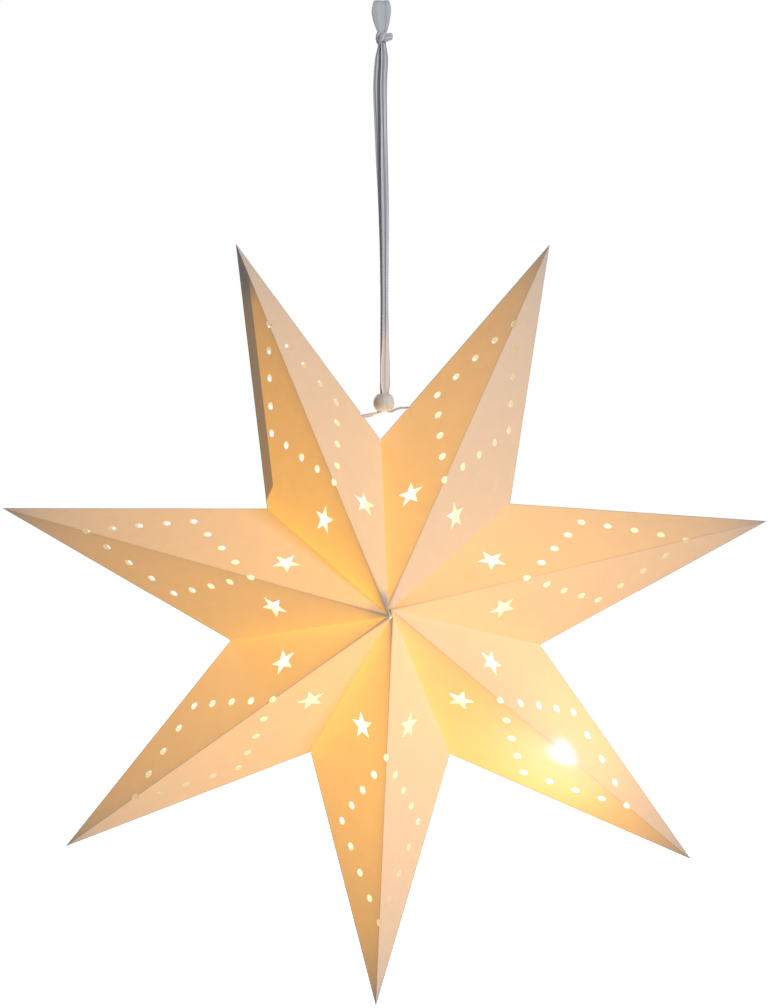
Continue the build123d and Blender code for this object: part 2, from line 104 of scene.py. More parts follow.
class Graph:
    """A material's nodes around one Principled shader, with a short method for each kind."""

    def __init__(self, name: str) -> None:
        """Makes an empty material with its shader and output.

        Args:
            name: the material's name.
        """
        self.material = bpy.data.materials.new(name)
        self.material.use_nodes = True
        self.nodes = self.material.node_tree.nodes
        self.links = self.material.node_tree.links
        self.nodes.clear()
        self.shader = self.nodes.new("ShaderNodeBsdfPrincipled")
        output = self.nodes.new("ShaderNodeOutputMaterial")
        self.links.new(self.shader.outputs[0], output.inputs[0])

    def plug(self, value: object, socket: bpy.types.NodeSocket) -> None:
        """Links a socket, or writes a plain value, into an input socket.

        Args:
            value: a socket, a number or a colour.
            socket: the input that takes it.
        """
        if isinstance(value, bpy.types.NodeSocket):
            self.links.new(value, socket)
        elif value is not None:
            socket.default_value = value

    def math(self, operation: str, *values: object, clamp: bool = False) -> bpy.types.NodeSocket:
        """A Math node.

        Args:
            operation: Blender's name of the operation.
            values: sockets or numbers for its inputs, in order.
            clamp: whether the result is kept from 0 to 1.

        Returns:
            The result's socket.
        """
        node = self.nodes.new("ShaderNodeMath")
        node.operation = operation
        node.use_clamp = clamp
        for value, socket in zip(values, node.inputs):
            self.plug(value, socket)
        return node.outputs[0]

    def scaled(self, colour: tuple, factor: object) -> bpy.types.NodeSocket:
        """A colour times a factor, as a vector socket.

        Args:
            colour: the colour.
            factor: a number or a socket.

        Returns:
            Their product.
        """
        node = self.nodes.new("ShaderNodeVectorMath")
        node.operation = "SCALE"
        node.inputs[0].default_value = colour
        self.plug(factor, node.inputs["Scale"])
        return node.outputs[0]

    def added(self, first: object, second: object) -> bpy.types.NodeSocket:
        """The sum of two vectors or colours.

        Args:
            first: a vector or colour.
            second: another.

        Returns:
            Their sum.
        """
        node = self.nodes.new("ShaderNodeVectorMath")
        node.operation = "ADD"
        self.plug(first, node.inputs[0])
        self.plug(second, node.inputs[1])
        return node.outputs[0]

    def blend(self, factor: object, first: object, second: object) -> bpy.types.NodeSocket:
        """A mix of two colours, each a tuple or a socket.

        Args:
            factor: how far the mix goes to the second.
            first: the colour at 0.
            second: the colour at 1.

        Returns:
            The mixed colour.
        """
        node = self.nodes.new("ShaderNodeMix")
        node.data_type = "RGBA"
        self.plug(factor, node.inputs[0])
        for colour, socket in ((first, node.inputs[6]), (second, node.inputs[7])):
            self.plug((*colour, 1.0) if isinstance(colour, tuple) else colour, socket)
        return node.outputs[2]

    def product(self, *factors: object) -> bpy.types.NodeSocket:
        """The product of two or more sockets or numbers.

        Args:
            factors: the sockets or numbers.

        Returns:
            Their product.
        """
        result = factors[0]
        for factor in factors[1:]:
            result = self.math("MULTIPLY", result, factor)
        return result

    def without(self, part: object) -> bpy.types.NodeSocket:
        """What a part leaves of 1."""
        return self.math("SUBTRACT", 1.0, part)

    def split(self, vector: object) -> bpy.types.NodeOutputs:
        """The three coordinates of a vector."""
        node = self.nodes.new("ShaderNodeSeparateXYZ")
        self.plug(vector, node.inputs[0])
        return node.outputs

    def span(
        self,
        value: object,
        start: float,
        stop: float,
        low: float = 0.0,
        high: float = 1.0,
        smooth: bool = True,
    ) -> bpy.types.NodeSocket:
        """A value carried from one range to another, held at the ends.

        Args:
            value: the socket that is read.
            start: the value at which the result is low.
            stop: the value at which the result is high.
            low: the result at the start.
            high: the result at the stop.
            smooth: whether it eases in and out.

        Returns:
            The result's socket.
        """
        node = self.nodes.new("ShaderNodeMapRange")
        node.interpolation_type = "SMOOTHSTEP" if smooth else "LINEAR"
        self.plug(value, node.inputs["Value"])
        for name, number in zip(("From Min", "From Max", "To Min", "To Max"), (start, stop, low, high)):
            node.inputs[name].default_value = number
        return node.outputs["Result"]

    def attribute(self, name: str) -> bpy.types.NodeSocket:
        """A number that the mesh carries."""
        node = self.nodes.new("ShaderNodeAttribute")
        node.attribute_name = name
        return node.outputs["Fac"]

    def uv(self, name: str) -> tuple[bpy.types.NodeSocket, bpy.types.NodeSocket]:
        """The two coordinates of a UV map."""
        split = self.split(self.uv_vector(name))
        return split[0], split[1]

    def uv_vector(self, name: str) -> bpy.types.NodeSocket:
        """A UV map as a vector."""
        node = self.nodes.new("ShaderNodeUVMap")
        node.uv_map = name
        return node.outputs[0]

    def place(self) -> bpy.types.NodeSocket:
        """The place on the object, in metres."""
        return self.nodes.new("ShaderNodeTexCoord").outputs["Object"]

    def stretched(self, vector: object, scale: tuple, turn: tuple = (0, 0, 0)) -> bpy.types.NodeSocket:
        """A vector turned and then scaled along each axis.

        Args:
            vector: the vector.
            scale: the factor along each axis.
            turn: the turn round each axis.

        Returns:
            The new vector.
        """
        node = self.nodes.new("ShaderNodeMapping")
        self.plug(vector, node.inputs["Vector"])
        node.inputs["Rotation"].default_value = turn
        node.inputs["Scale"].default_value = scale
        return node.outputs[0]

    def noise(
        self, vector: object, scale: float, detail: float = 2.0, roughness: float = 0.5
    ) -> bpy.types.NodeSocket:
        """Cloudy noise from 0 to 1, with its scale in features per metre.

        Args:
            vector: where it is read.
            scale: features per metre.
            detail: the number of finer layers.
            roughness: how strong they are.

        Returns:
            The noise.
        """
        node = self.nodes.new("ShaderNodeTexNoise")
        self.plug(vector, node.inputs["Vector"])
        node.inputs["Scale"].default_value = scale
        node.inputs["Detail"].default_value = detail
        node.inputs["Roughness"].default_value = roughness
        return node.outputs["Fac"]

    def wave(self, vector: object, scale: float, distortion: float, direction: str) -> bpy.types.NodeSocket:
        """Bands from 0 to 1 across one axis.

        Args:
            vector: where it is read.
            scale: the bands' scale.
            distortion: how far they wander.
            direction: the axis that they cross.

        Returns:
            The bands.
        """
        node = self.nodes.new("ShaderNodeTexWave")
        node.bands_direction = direction
        self.plug(vector, node.inputs["Vector"])
        node.inputs["Scale"].default_value = scale
        node.inputs["Distortion"].default_value = distortion
        return node.outputs["Fac"]

    def bump(self, height: object, depth: float) -> None:
        """Roughens the shader's normal by a height from 0 to 1 times a depth in metres.

        Args:
            height: the height.
            depth: the depth of a height of 1.
        """
        node = self.nodes.new("ShaderNodeBump")
        node.inputs["Strength"].default_value = 1.0
        node.inputs["Distance"].default_value = depth
        self.plug(height, node.inputs["Height"])
        self.links.new(node.outputs[0], self.shader.inputs["Normal"])

    def give(self, **values: object) -> None:
        """Writes or links the shader's inputs, named with underscores for spaces.

        Args:
            values: the inputs and their values.
        """
        for name, value in values.items():
            if isinstance(value, tuple) and len(value) == 3:
                value = (*value, 1.0)
            self.plug(value, self.shader.inputs[name.replace("_", " ")])


@dataclass(frozen=True)
class PaperFinish:
    """Matt card with the lamp's light through it painted in as emission, and painted shade where it is folded
    or doubled.
    """

    reflectance: tuple = (0.375, 0.364, 0.352)
    shade: tuple = (0.340, 0.328, 0.315)
    warm: tuple = (1.0, 0.450, 0.048)
    hot: tuple = (0.60, 0.50, 1.0)
    cream: tuple = (1.0, 0.80, 0.42)
    seam_light: float = 0.03
    wall: tuple = ((0.50, 0.48, 0.45), (0.56, 0.55, 0.52))
    wall_glow: tuple = (1.0, 0.66, 0.30)
    wall_whiter: tuple = (0.10, 0.32, 0.36)
    edge: tuple = ((0.44, 0.42, 0.39), (0.52, 0.50, 0.47))
    edge_glow: tuple = (1.0, 0.74, 0.40)
    edge_level: float = 0.9
    cloud: float = 0.04
    grain: float = 0.035
    fibre_depth: float = 0.03 * MM
    outline_dark: float = 0.12
    outline_width: float = 1.0 * MM
    ridge_width: float = 1.25 * MM
    tab_shadow_level: float = 0.27
    tab_width: float = 11.0 * MM
    tab_tip: float = 5.0 * MM
    tab_taper: float = 24.0 * MM
    tab_end: float = 15.0 * MM
    strip_width: float = 1.7 * MM

    def outside(self) -> bpy.types.Material:
        """The outer face: reflected room light and the lamp's light through the sheet.

        The glow is painted light, an attribute worked out for each corner. It is clouded by the sheet's
        uneven pulp, and cut by painted shade at the outline crease, along the ridge and over the tab.

        Returns:
            The material.
        """
        graph = Graph("paper_outside")
        place = graph.place()
        along, across = graph.uv("outline")
        off_ridge, fold = graph.uv("fold")
        cloud = graph.noise(place, 85.0, 5.0, 0.6)
        fibre = graph.noise(place, 2300.0, 3.0, 0.7)
        even = graph.math(
            "ADD",
            graph.span(cloud, 0.3, 0.7, 1 - self.cloud, 1 + self.cloud, smooth=False),
            graph.span(fibre, 0.3, 0.7, -self.grain, self.grain, smooth=False),
        )
        # painted shade: a thin dark line along the outline crease, cut into the glow
        outline = graph.span(across, 0.1 * self.outline_width, self.outline_width, self.outline_dark, 1)
        # painted shade: a thin dark line along the ridge, cut into the glow
        crushed = graph.span(off_ridge, 0.1 * self.ridge_width, self.ridge_width, 1, 0)
        ridge = graph.without(graph.product(crushed, graph.attribute("crushed")))
        strip = graph.span(fold, self.strip_width, 0.7 * self.strip_width)
        strip = graph.product(graph.attribute("seam"), strip, self.seam_light)
        # painted shade: the tab's shadow darkens the lamp's glow over it
        clear_of_tab_shadow = graph.without(graph.product(self.tab_mask(graph, along, across), 1 - self.tab_shadow_level))
        factor = graph.product(even, graph.attribute("glow"), outline, ridge, clear_of_tab_shadow)
        light = graph.added(graph.scaled(self.warm, factor), graph.scaled(self.cream, strip))
        light = graph.added(light, graph.scaled(self.hot, graph.attribute("hot")))
        graph.give(
            Base_Color=graph.blend(graph.span(fibre, 0.35, 0.65), self.shade, self.reflectance),
            Roughness=0.82,
            Specular_IOR_Level=0.2,
            Emission_Color=light,
            Emission_Strength=1.0,
        )
        graph.bump(fibre, self.fibre_depth)
        return self.quiet(graph)

    def tab_mask(self, graph: Graph, along: object, across: object) -> bpy.types.NodeSocket:
        """Where the closing tab lies under the sheet, and where its shadow is painted into the glow.

        Its width grows from nothing at the tip to full at the end of the taper, and its other
        end is cut at a slant. The mask also carries the attribute that marks the tab's facet.

        Args:
            graph: the material's nodes.
            along: the way along the outline crease.
            across: the distance from it.

        Returns:
            1 over the tab and 0 beside it.
        """
        width = graph.span(along, self.tab_tip, self.tab_tip + self.tab_taper, 0.0, self.tab_width, False)
        under = graph.math("SUBTRACT", width, across)
        beside = graph.span(under, -0.3 * MM, 0.5 * MM)
        rest = graph.math("SUBTRACT", graph.attribute("outline_length"), along)
        short = graph.math("SUBTRACT", rest, across)
        ended = graph.span(short, 0.3 * self.tab_end, 0.45 * self.tab_end)
        return graph.product(beside, ended, graph.attribute("tab"))

    def inside(self) -> bpy.types.Material:
        """The inner face, lit straight by the lamp.

        Returns:
            The material.
        """
        graph = Graph("paper_inside")
        fibre = graph.noise(graph.place(), 1500.0, 3.0, 0.6)
        inner = graph.attribute("inner")
        whiter = graph.scaled(self.wall_whiter, graph.product(inner, inner))
        graph.give(
            Base_Color=graph.blend(fibre, *self.wall),
            Roughness=0.85,
            Emission_Color=graph.added(graph.scaled(self.wall_glow, inner), whiter),
            Emission_Strength=1.0,
        )
        graph.bump(fibre, self.fibre_depth)
        return self.quiet(graph)

    def cut(self) -> bpy.types.Material:
        """The punched and cut edges, through which light leaves sideways.

        Returns:
            The material.
        """
        graph = Graph("paper_cut")
        fibre = graph.noise(graph.place(), 4000.0, 2.0, 0.6)
        level = graph.product(graph.attribute("inner"), self.edge_level)
        graph.give(
            Base_Color=graph.blend(fibre, *self.edge),
            Roughness=0.9,
            Emission_Color=graph.scaled(self.edge_glow, level),
            Emission_Strength=1.0,
        )
        graph.bump(fibre, self.fibre_depth)
        return self.quiet(graph)

    @staticmethod
    def quiet(graph: Graph) -> bpy.types.Material:
        """A finish whose light is met by chance and not sampled as lamps are."""
        graph.material.cycles.emission_sampling = "NONE"
        return graph.material


@dataclass(frozen=True)
class SatinFinish:
    """Grey satin ribbon: fine ribs across it, a sheen, painted shade in the troughs between pleats, and
    painted warm light from the lantern on its lower end.
    """

    light: tuple = (0.405, 0.42, 0.45)
    dark: tuple = (0.275, 0.285, 0.305)
    painted_glow_pale: tuple = (0.60, 0.52, 0.46)
    painted_glow_dark: tuple = (0.48, 0.405, 0.355)
    painted_glow_from: float = -232 * MM
    painted_glow_to: float = -262 * MM
    ribs_per_metre: float = 2600.0
    rib_depth: float = 0.018 * MM

    def make(self) -> bpy.types.Material:
        """The ribbon's material, on its own UV map: U along it and V across, in metres.
        Its lower end is painted warmer, as painted light from the lantern's glow.

        Returns:
            The material.
        """
        graph = Graph("ribbon_satin")
        across = graph.uv_vector("ribbon")
        ribs = graph.wave(across, self.ribs_per_metre / 20, 0.6, "X")
        streak = graph.noise(graph.stretched(across, (60.0, 1400.0, 1.0)), 1.0, 3.0, 0.6)
        trough = graph.attribute("trough")
        # painted shade: the pleats' troughs are darkened in the base colour
        tone = graph.math("MULTIPLY_ADD", streak, 0.55, graph.math("MULTIPLY", trough, 0.3), clamp=True)
        tone = graph.span(tone, 0.15, 0.85)
        # painted light: the lantern's warm glow, painted into the colour of the ribbon's lower end
        lit = graph.span(graph.split(graph.place())[2], self.painted_glow_from, self.painted_glow_to)
        cool = graph.blend(tone, self.light, self.dark)
        warm = graph.blend(tone, self.painted_glow_pale, self.painted_glow_dark)
        graph.give(
            Base_Color=graph.blend(lit, cool, warm),
            Roughness=graph.span(ribs, 0.0, 1.0, 0.42, 0.58),
            Specular_IOR_Level=0.45,
            Sheen_Weight=0.25,
            Sheen_Roughness=0.35,
            Anisotropic=0.35,
        )
        graph.bump(graph.math("MULTIPLY_ADD", streak, 0.6, ribs), self.rib_depth)
        return graph.material


@dataclass(frozen=True)
class WoodFinish:
    """Pale unvarnished wood, turned: long grain with darker pores."""

    pale: tuple = (0.62, 0.57, 0.52)
    dark: tuple = (0.44, 0.39, 0.34)

    def make(self) -> bpy.types.Material:
        """The bead's material: stretched noise for the grain, fine rings from turning.

        Returns:
            The material.
        """
        graph = Graph("bead_wood")
        grain = graph.noise(graph.stretched(graph.place(), (900.0, 900.0, 120.0)), 1.0, 4.0, 0.6)
        pores = graph.noise(graph.stretched(graph.place(), (3800.0, 3800.0, 500.0)), 1.0, 2.0, 0.5)
        turned = graph.wave(graph.place(), 420.0, 0.4, "Z")
        tone = graph.math("MULTIPLY_ADD", pores, 0.4, graph.math("MULTIPLY", grain, 0.6))
        graph.give(
            Base_Color=graph.blend(graph.span(tone, 0.35, 0.68), self.pale, self.dark),
            Roughness=graph.span(grain, 0.3, 0.7, 0.5, 0.68),
            Specular_IOR_Level=0.3,
        )
        graph.bump(graph.math("MULTIPLY_ADD", turned, 0.25, pores), 0.05 * MM)
        return graph.material


@dataclass(frozen=True)
class PlainFinish:
    """A hard finish with small differences in colour and gloss, and its own fine grain."""

    name: str
    colour: tuple
    worn: tuple
    roughness: float
    metallic: float = 0.0
    grain_per_metre: float = 1200.0
    grain_depth: float = 0.02 * MM
    along: tuple = (1.0, 1.0, 1.0)
    glow: tuple = (0.0, 0.0, 0.0)
    glow_strength: float = 0.0

    def make(self) -> bpy.types.Material:
        """The material: noise at the grain's scale and a slower one for handling marks.

        Returns:
            The material.
        """
        graph = Graph(self.name)
        place = graph.stretched(graph.place(), self.along)
        grain = graph.noise(place, self.grain_per_metre, 3.0, 0.6)
        marks = graph.noise(place, self.grain_per_metre / 22, 4.0, 0.65)
        tone = graph.span(graph.math("MULTIPLY_ADD", grain, 0.4, marks), 0.5, 0.95)
        graph.give(
            Base_Color=graph.blend(tone, self.colour, self.worn),
            Roughness=graph.span(marks, 0.3, 0.7, 0.85 * self.roughness, 1.12 * self.roughness),
            Metallic=self.metallic,
            Specular_IOR_Level=0.5,
        )
        if self.glow_strength:
            lit = graph.span(marks, 0.2, 0.8, 0.94, 1.06)
            graph.give(
                Emission_Color=graph.scaled(self.glow, lit),
                Emission_Strength=self.glow_strength,
            )
            graph.material.cycles.emission_sampling = "NONE"
        graph.bump(grain, self.grain_depth)
        return graph.material


@dataclass(frozen=True)
class StarForm:
    """The star's driving sizes, and its points' places."""

    centre_height: float = -459.0 * MM
    tip_radius: float = 300.0 * MM
    valley_radius: float = 121.5 * MM
    seam_valley_radius: float = 129.0 * MM
    half_depth: float = 106.0 * MM
    seam_azimuth: float = 91.0
    seam_left_half: float = 20.7
    seam_right_half: float = 25.5
    seam_gap: float = 1.0 * MM
    paper: float = 0.4 * MM
    tips_off: tuple = (
        (1.8, 3.4), (-1.0, -2.2), (-0.2, -2.1), (-1.5, -1.3), (-1.4, 0.8), (0.3, -3.2), (0.0, -1.1)
    )
    valleys_off: tuple = (
        (-0.8, 0.8), (1.3, 3.6), (-0.5, 0.6), (-2.2, 1.1), (-1.1, 1.0), (2.4, -0.1), (1.3, -3.6), (-0.2, 0.9)
    )
    apexes_off: tuple = (
        (-3.5, 2.1), (0.8, 3.7), (1.5, 3.7), (1.9, -1.0), (-0.1, -1.1), (0.1, -0.7), (0.0, -0.7)
    )
    first_apex_back: float = 3.0 * MM
    pattern_slip: float = -6.1
    names: tuple = (
        "point_upper_right",
        "point_right",
        "point_lower_right",
        "point_bottom",
        "point_lower_left",
        "point_left",
        "point_upper_left",
    )

    @property
    def last(self) -> int:
        """The index of the point on the seam's left."""
        return len(self.names) - 1

    @property
    def half(self) -> float:
        """Half the angle of a point that isn't at the seam."""
        return (360.0 - self.seam_left_half - self.seam_right_half) / (2 * self.last)

    def azimuth(self, index: int) -> float:
        """The azimuth of a point's ridge, anticlockwise from +X seen from the front."""
        return self.seam_azimuth - self.seam_right_half - 2 * self.half * index

    def turn(self, index: int, side: Side) -> float:
        """The angle from a point's ridge to its valley on one side, positive to the left.

        Args:
            index: the point's place in the row.
            side: the side of the ridge.

        Returns:
            The angle in degrees.
        """
        if side is Side.LEFT:
            return self.seam_right_half if index == 0 else self.half
        return -(self.seam_left_half if index == self.last else self.half)

    def at_seam(self, index: int, side: Side) -> bool:
        """Whether this side of the point is at the open seam."""
        return (index == 0 and side is Side.LEFT) or (index == self.last and side is Side.RIGHT)

    @staticmethod
    def aside(off: tuple) -> np.ndarray:
        """A fold's place off its regular one, across and up, as folding by hand leaves it."""
        return np.array([off[0], 0.0, off[1]]) * MM

    def spot(self, radius: float, azimuth: float, forward: float = 0.0) -> np.ndarray:
        """A place by its distance from the star's axis, its azimuth and its way forward.

        Args:
            radius: the distance from the axis.
            azimuth: the azimuth in degrees.
            forward: the way towards the front.

        Returns:
            The place.
        """
        angle = math.radians(azimuth)
        height = self.centre_height + radius * math.sin(angle)
        return np.array([radius * math.cos(angle), -forward, height])

    def gap_shift(self, index: int) -> np.ndarray:
        """How far an end point stands off the middle of the open seam.

        Args:
            index: the point's place in the row.

        Returns:
            The shift.
        """
        if index not in (0, self.last):
            return np.zeros(3)
        across = math.radians(self.seam_azimuth - 90)
        shift = self.seam_gap / 2 * (1 if index == 0 else -1)
        return shift * np.array([math.cos(across), 0.0, math.sin(across)])

    def apex(self, index: int, face: Face) -> np.ndarray:
        """A point's front or back apex.

        In front the folds of the points don't quite meet. The first point is tucked under the
        last one, where the seam closes the star.

        Args:
            index: the point's place in the row.
            face: the star's face.

        Returns:
            The apex.
        """
        place = self.spot(0.0, 0.0, self.half_depth * face.value) + self.gap_shift(index)
        if face is Face.FRONT:
            place = place + self.aside(self.apexes_off[index])
            if index == 0:
                place[1] += self.first_apex_back
        return place


@dataclass(frozen=True)
class LampLight:
    """The lamp's light on the paper, from sums that fit a lantern with one lamp inside."""

    globe: np.ndarray
    middle: np.ndarray
    direct: float = 1.073
    direct_reach: float = 90.6 * MM
    spread: float = 0.767
    spread_reach: float = 297.0 * MM
    soft_from: float = 0.95
    soft_room: float = 0.40
    hot_radius: float = 10.5 * MM
    hot_strength: float = 1.25
    halo: float = 0.24
    far_halo: float = 0.05
    halo_radius: float = 46.0 * MM
    wall_direct: float = 1.5
    wall_reach: float = 130.0 * MM
    wall_spread: float = 0.55
    wall_spread_reach: float = 170.0 * MM
    wall_least: float = 0.10

    def off_axis(self, places: np.ndarray) -> np.ndarray:
        """The distance from the star's axis."""
        return np.linalg.norm((places - self.middle)[:, [0, 2]], axis=1)

    def incidence(self, places: np.ndarray, outward: np.ndarray) -> tuple[np.ndarray, np.ndarray]:
        """The distance from the globe and the cosine at which its light meets the sheet.

        Args:
            places: the places.
            outward: the sheet's outer side at each place.

        Returns:
            The distance and the cosine.
        """
        way = places - self.globe
        distance = np.linalg.norm(way, axis=1)
        return distance, np.clip((way * outward).sum(1) / distance, 0.0, 1.0)

    def through(self, places: np.ndarray, outward: np.ndarray) -> np.ndarray:
        """The glow on the outside.

        It is the direct light, a cosine that fades with the square of the distance beyond its
        reach, plus light spread by the inner walls, which fades towards the tips. Past a level
        the sum rises ever less, because close to the lamp the sheet is lit nearly to white.

        Args:
            places: the places.
            outward: the sheet's outer side at each place.

        Returns:
            The glow at each place.
        """
        distance, cosine = self.incidence(places, outward)
        lit = self.direct * cosine / (1 + (distance / self.direct_reach) ** 2)
        lit = lit + self.spread / (1 + (self.off_axis(places) / self.spread_reach) ** 2)
        over = np.clip(lit - self.soft_from, 0, None)
        return lit - over + over / (1 + over / self.soft_room)

    def inner(self, places: np.ndarray, outward: np.ndarray) -> np.ndarray:
        """The brightness of the inner wall: direct light and what the other walls return.

        Args:
            places: the places.
            outward: the sheet's outer side at each place.

        Returns:
            The brightness at each place.
        """
        distance, cosine = self.incidence(places, outward)
        lit = self.wall_direct * cosine / (1 + (distance / self.wall_reach) ** 2)
        spread = self.wall_spread / (1 + (self.off_axis(places) / self.wall_spread_reach) ** 3)
        return lit + spread + self.wall_least

    def hot(self, places: np.ndarray, spot: np.ndarray, side: Side) -> np.ndarray:
        """The bright spot where the globe lies behind the sheet: a steep bell in a wide faint one.

        The faint one is stronger on the side towards which the globe leans.

        Args:
            places: the places.
            spot: the middle of the bright spot.
            side: the side of the ridge.

        Returns:
            The extra light at each place.
        """
        distance = np.linalg.norm(places - spot, axis=1)
        steep = np.exp(-((distance / self.hot_radius) ** 2.4))
        halo = self.halo if side is Side.RIGHT else self.far_halo
        return self.hot_strength * steep + halo * np.exp(-((distance / self.halo_radius) ** 2))


@dataclass(frozen=True)
class PunchedFacet:
    """One facet cut flat: a triangle from the apex along the ridge, with its holes, in mm."""

    ridge: float
    valley: np.ndarray
    tie_from_valley: float
    slip: float = 0.0
    spacing: float = 3.2
    dot: float = 3.0
    ridge_dots: tuple = (0.349, 0.776)
    facet_dots: tuple = (
        (0.665, 0.143),
        (0.553, 0.281),
        (0.440, 0.416),
        (0.331, 0.544),
        (0.331, 0.422),
        (0.335, 0.288),
        (0.342, 0.149),
    )
    cutout: tuple = (0.158, 0.326)
    cutout_radius: float = 11.2
    cutout_waist: float = 0.40
    cutout_turn: float = 25.1
    tie_radius: float = 1.95
    least_area: float = 0.02

    def side(self, start: np.ndarray, stop: np.ndarray, notches: list) -> np.ndarray:
        """Points along a side, with half rounds cut into the facet on its left.

        Args:
            start: the side's first corner, which is included.
            stop: its last corner, which is left out.
            notches: (distance from the start, radius) of each half round.

        Returns:
            The points, as rows.
        """
        length = np.linalg.norm(stop - start)
        along = (stop - start) / length
        left = np.array([-along[1], along[0]])
        rows = []
        begin = 0.0
        for middle, radius in [*sorted(notches), (length, 0.0)]:
            count = max(2, round((middle - radius - begin) / self.spacing))
            run = np.linspace(begin, middle - radius, count, endpoint=False)
            rows.append(start + run[:, None] * along)
            if radius:
                angle = np.linspace(math.pi, 0, 16, endpoint=False)
                offset = middle + radius * np.cos(angle)
                depth = radius * np.sin(angle)
                rows.append(start + offset[:, None] * along + depth[:, None] * left)
                begin = middle + radius
        return np.concatenate(rows)

    def outline(self) -> np.ndarray:
        """The facet's outline, anticlockwise: ridge, outline crease, valley fold.

        Returns:
            The corners and the points between them.
        """
        apex, tip = np.zeros(2), np.array([self.ridge, 0.0])
        ridge = [(share * self.ridge, self.dot) for share in self.ridge_dots]
        crease = np.linalg.norm(self.valley - tip)
        tie = [(crease - self.tie_from_valley, self.tie_radius)] if self.tie_from_valley else []
        return np.concatenate(
            [self.side(apex, tip, ridge), self.side(tip, self.valley, tie), self.side(self.valley, apex, [])]
        )

    def holes(self) -> list[np.ndarray]:
        """The dots as rings, and the small star as ten corners with points between them.

        Returns:
            One ring of points for each hole.
        """
        ridge = np.array([self.ridge, 0.0])
        angle = np.linspace(0, 2 * math.pi, 28, endpoint=False)
        ring = self.dot * np.stack([np.cos(angle), np.sin(angle)], axis=1) + [self.slip, 0.0]
        found = [a * ridge + b * self.valley + ring for a, b in self.facet_dots]
        turn = np.radians(self.cutout_turn + 36 * np.arange(11))
        reach = self.cutout_radius * np.where(np.arange(11) % 2 == 0, 1.0, self.cutout_waist)
        corners = reach[:, None] * np.stack([np.cos(turn), np.sin(turn)], axis=1)
        middle = self.cutout[0] * ridge + self.cutout[1] * self.valley + [self.slip, 0.0]
        share = np.arange(0, 1, 0.25)[None, :, None]
        star = corners[:-1, None] * (1 - share) + corners[1:, None] * share
        found.append(middle + star.reshape(-1, 2))
        return found

    @staticmethod
    def within(places: np.ndarray, ring: np.ndarray) -> np.ndarray:
        """Whether each place lies in a ring: it crosses the ring an odd number of times.

        Args:
            places: the places.
            ring: the ring's points in order.

        Returns:
            True for each place inside.
        """
        after = np.roll(ring, -1, axis=0)
        x, y = places[:, :1], places[:, 1:]
        spans = (ring[:, 1] > y) != (after[:, 1] > y)
        rise = np.where(after[:, 1] == ring[:, 1], 1.0, after[:, 1] - ring[:, 1])
        cross = ring[:, 0] + (y - ring[:, 1]) / rise * (after[:, 0] - ring[:, 0])
        return (spans & (x < cross)).sum(1) % 2 == 1

    def mesh(self) -> tuple[np.ndarray, np.ndarray]:
        """The facet's points and triangles.

        A grid of even triangles fills the outline, its points near a rim are left out, and the
        rims are kept as edges. Triangles whose middle lies in a hole are dropped, and so are
        slivers along a straight rim.

        Returns:
            The points, and three of their numbers for each triangle.
        """
        outline, holes = self.outline(), self.holes()
        rims = np.concatenate([outline, *holes])
        rows = np.arange(0.0, self.valley[1], self.spacing * math.sqrt(0.75))
        columns = np.arange(0.0, self.ridge, self.spacing)
        grid = np.stack(np.meshgrid(columns, rows), axis=-1)
        grid[1::2, :, 0] += self.spacing / 2
        grid = grid.reshape(-1, 2)
        keep = self.within(grid, outline)
        for hole in holes:
            keep &= ~self.within(grid, hole)
        grid = grid[keep]
        gap = np.linalg.norm(grid[:, None] - rims[None], axis=2).min(1)
        grid = grid[gap > 0.55 * self.spacing]
        places = np.concatenate([rims, grid])
        edges, first = [], 0
        for ring in (outline, *holes):
            index = first + np.arange(len(ring))
            edges += list(zip(index.tolist(), np.roll(index, -1).tolist()))
            first += len(ring)
        points, _, faces, *_ = delaunay_2d_cdt([Vector(p) for p in places], edges, [], 0, 1e-5, False)
        points = np.array([tuple(p) for p in points])
        faces = np.array([tuple(f) for f in faces])
        corners = points[faces]
        middles = corners.mean(1)
        first, second = corners[:, 1] - corners[:, 0], corners[:, 2] - corners[:, 0]
        doubled_area = np.abs(first[:, 0] * second[:, 1] - first[:, 1] * second[:, 0])
        solid = self.within(middles, outline) & (doubled_area > self.least_area)
        for hole in holes:
            solid &= ~self.within(middles, hole)
        return points, faces[solid]


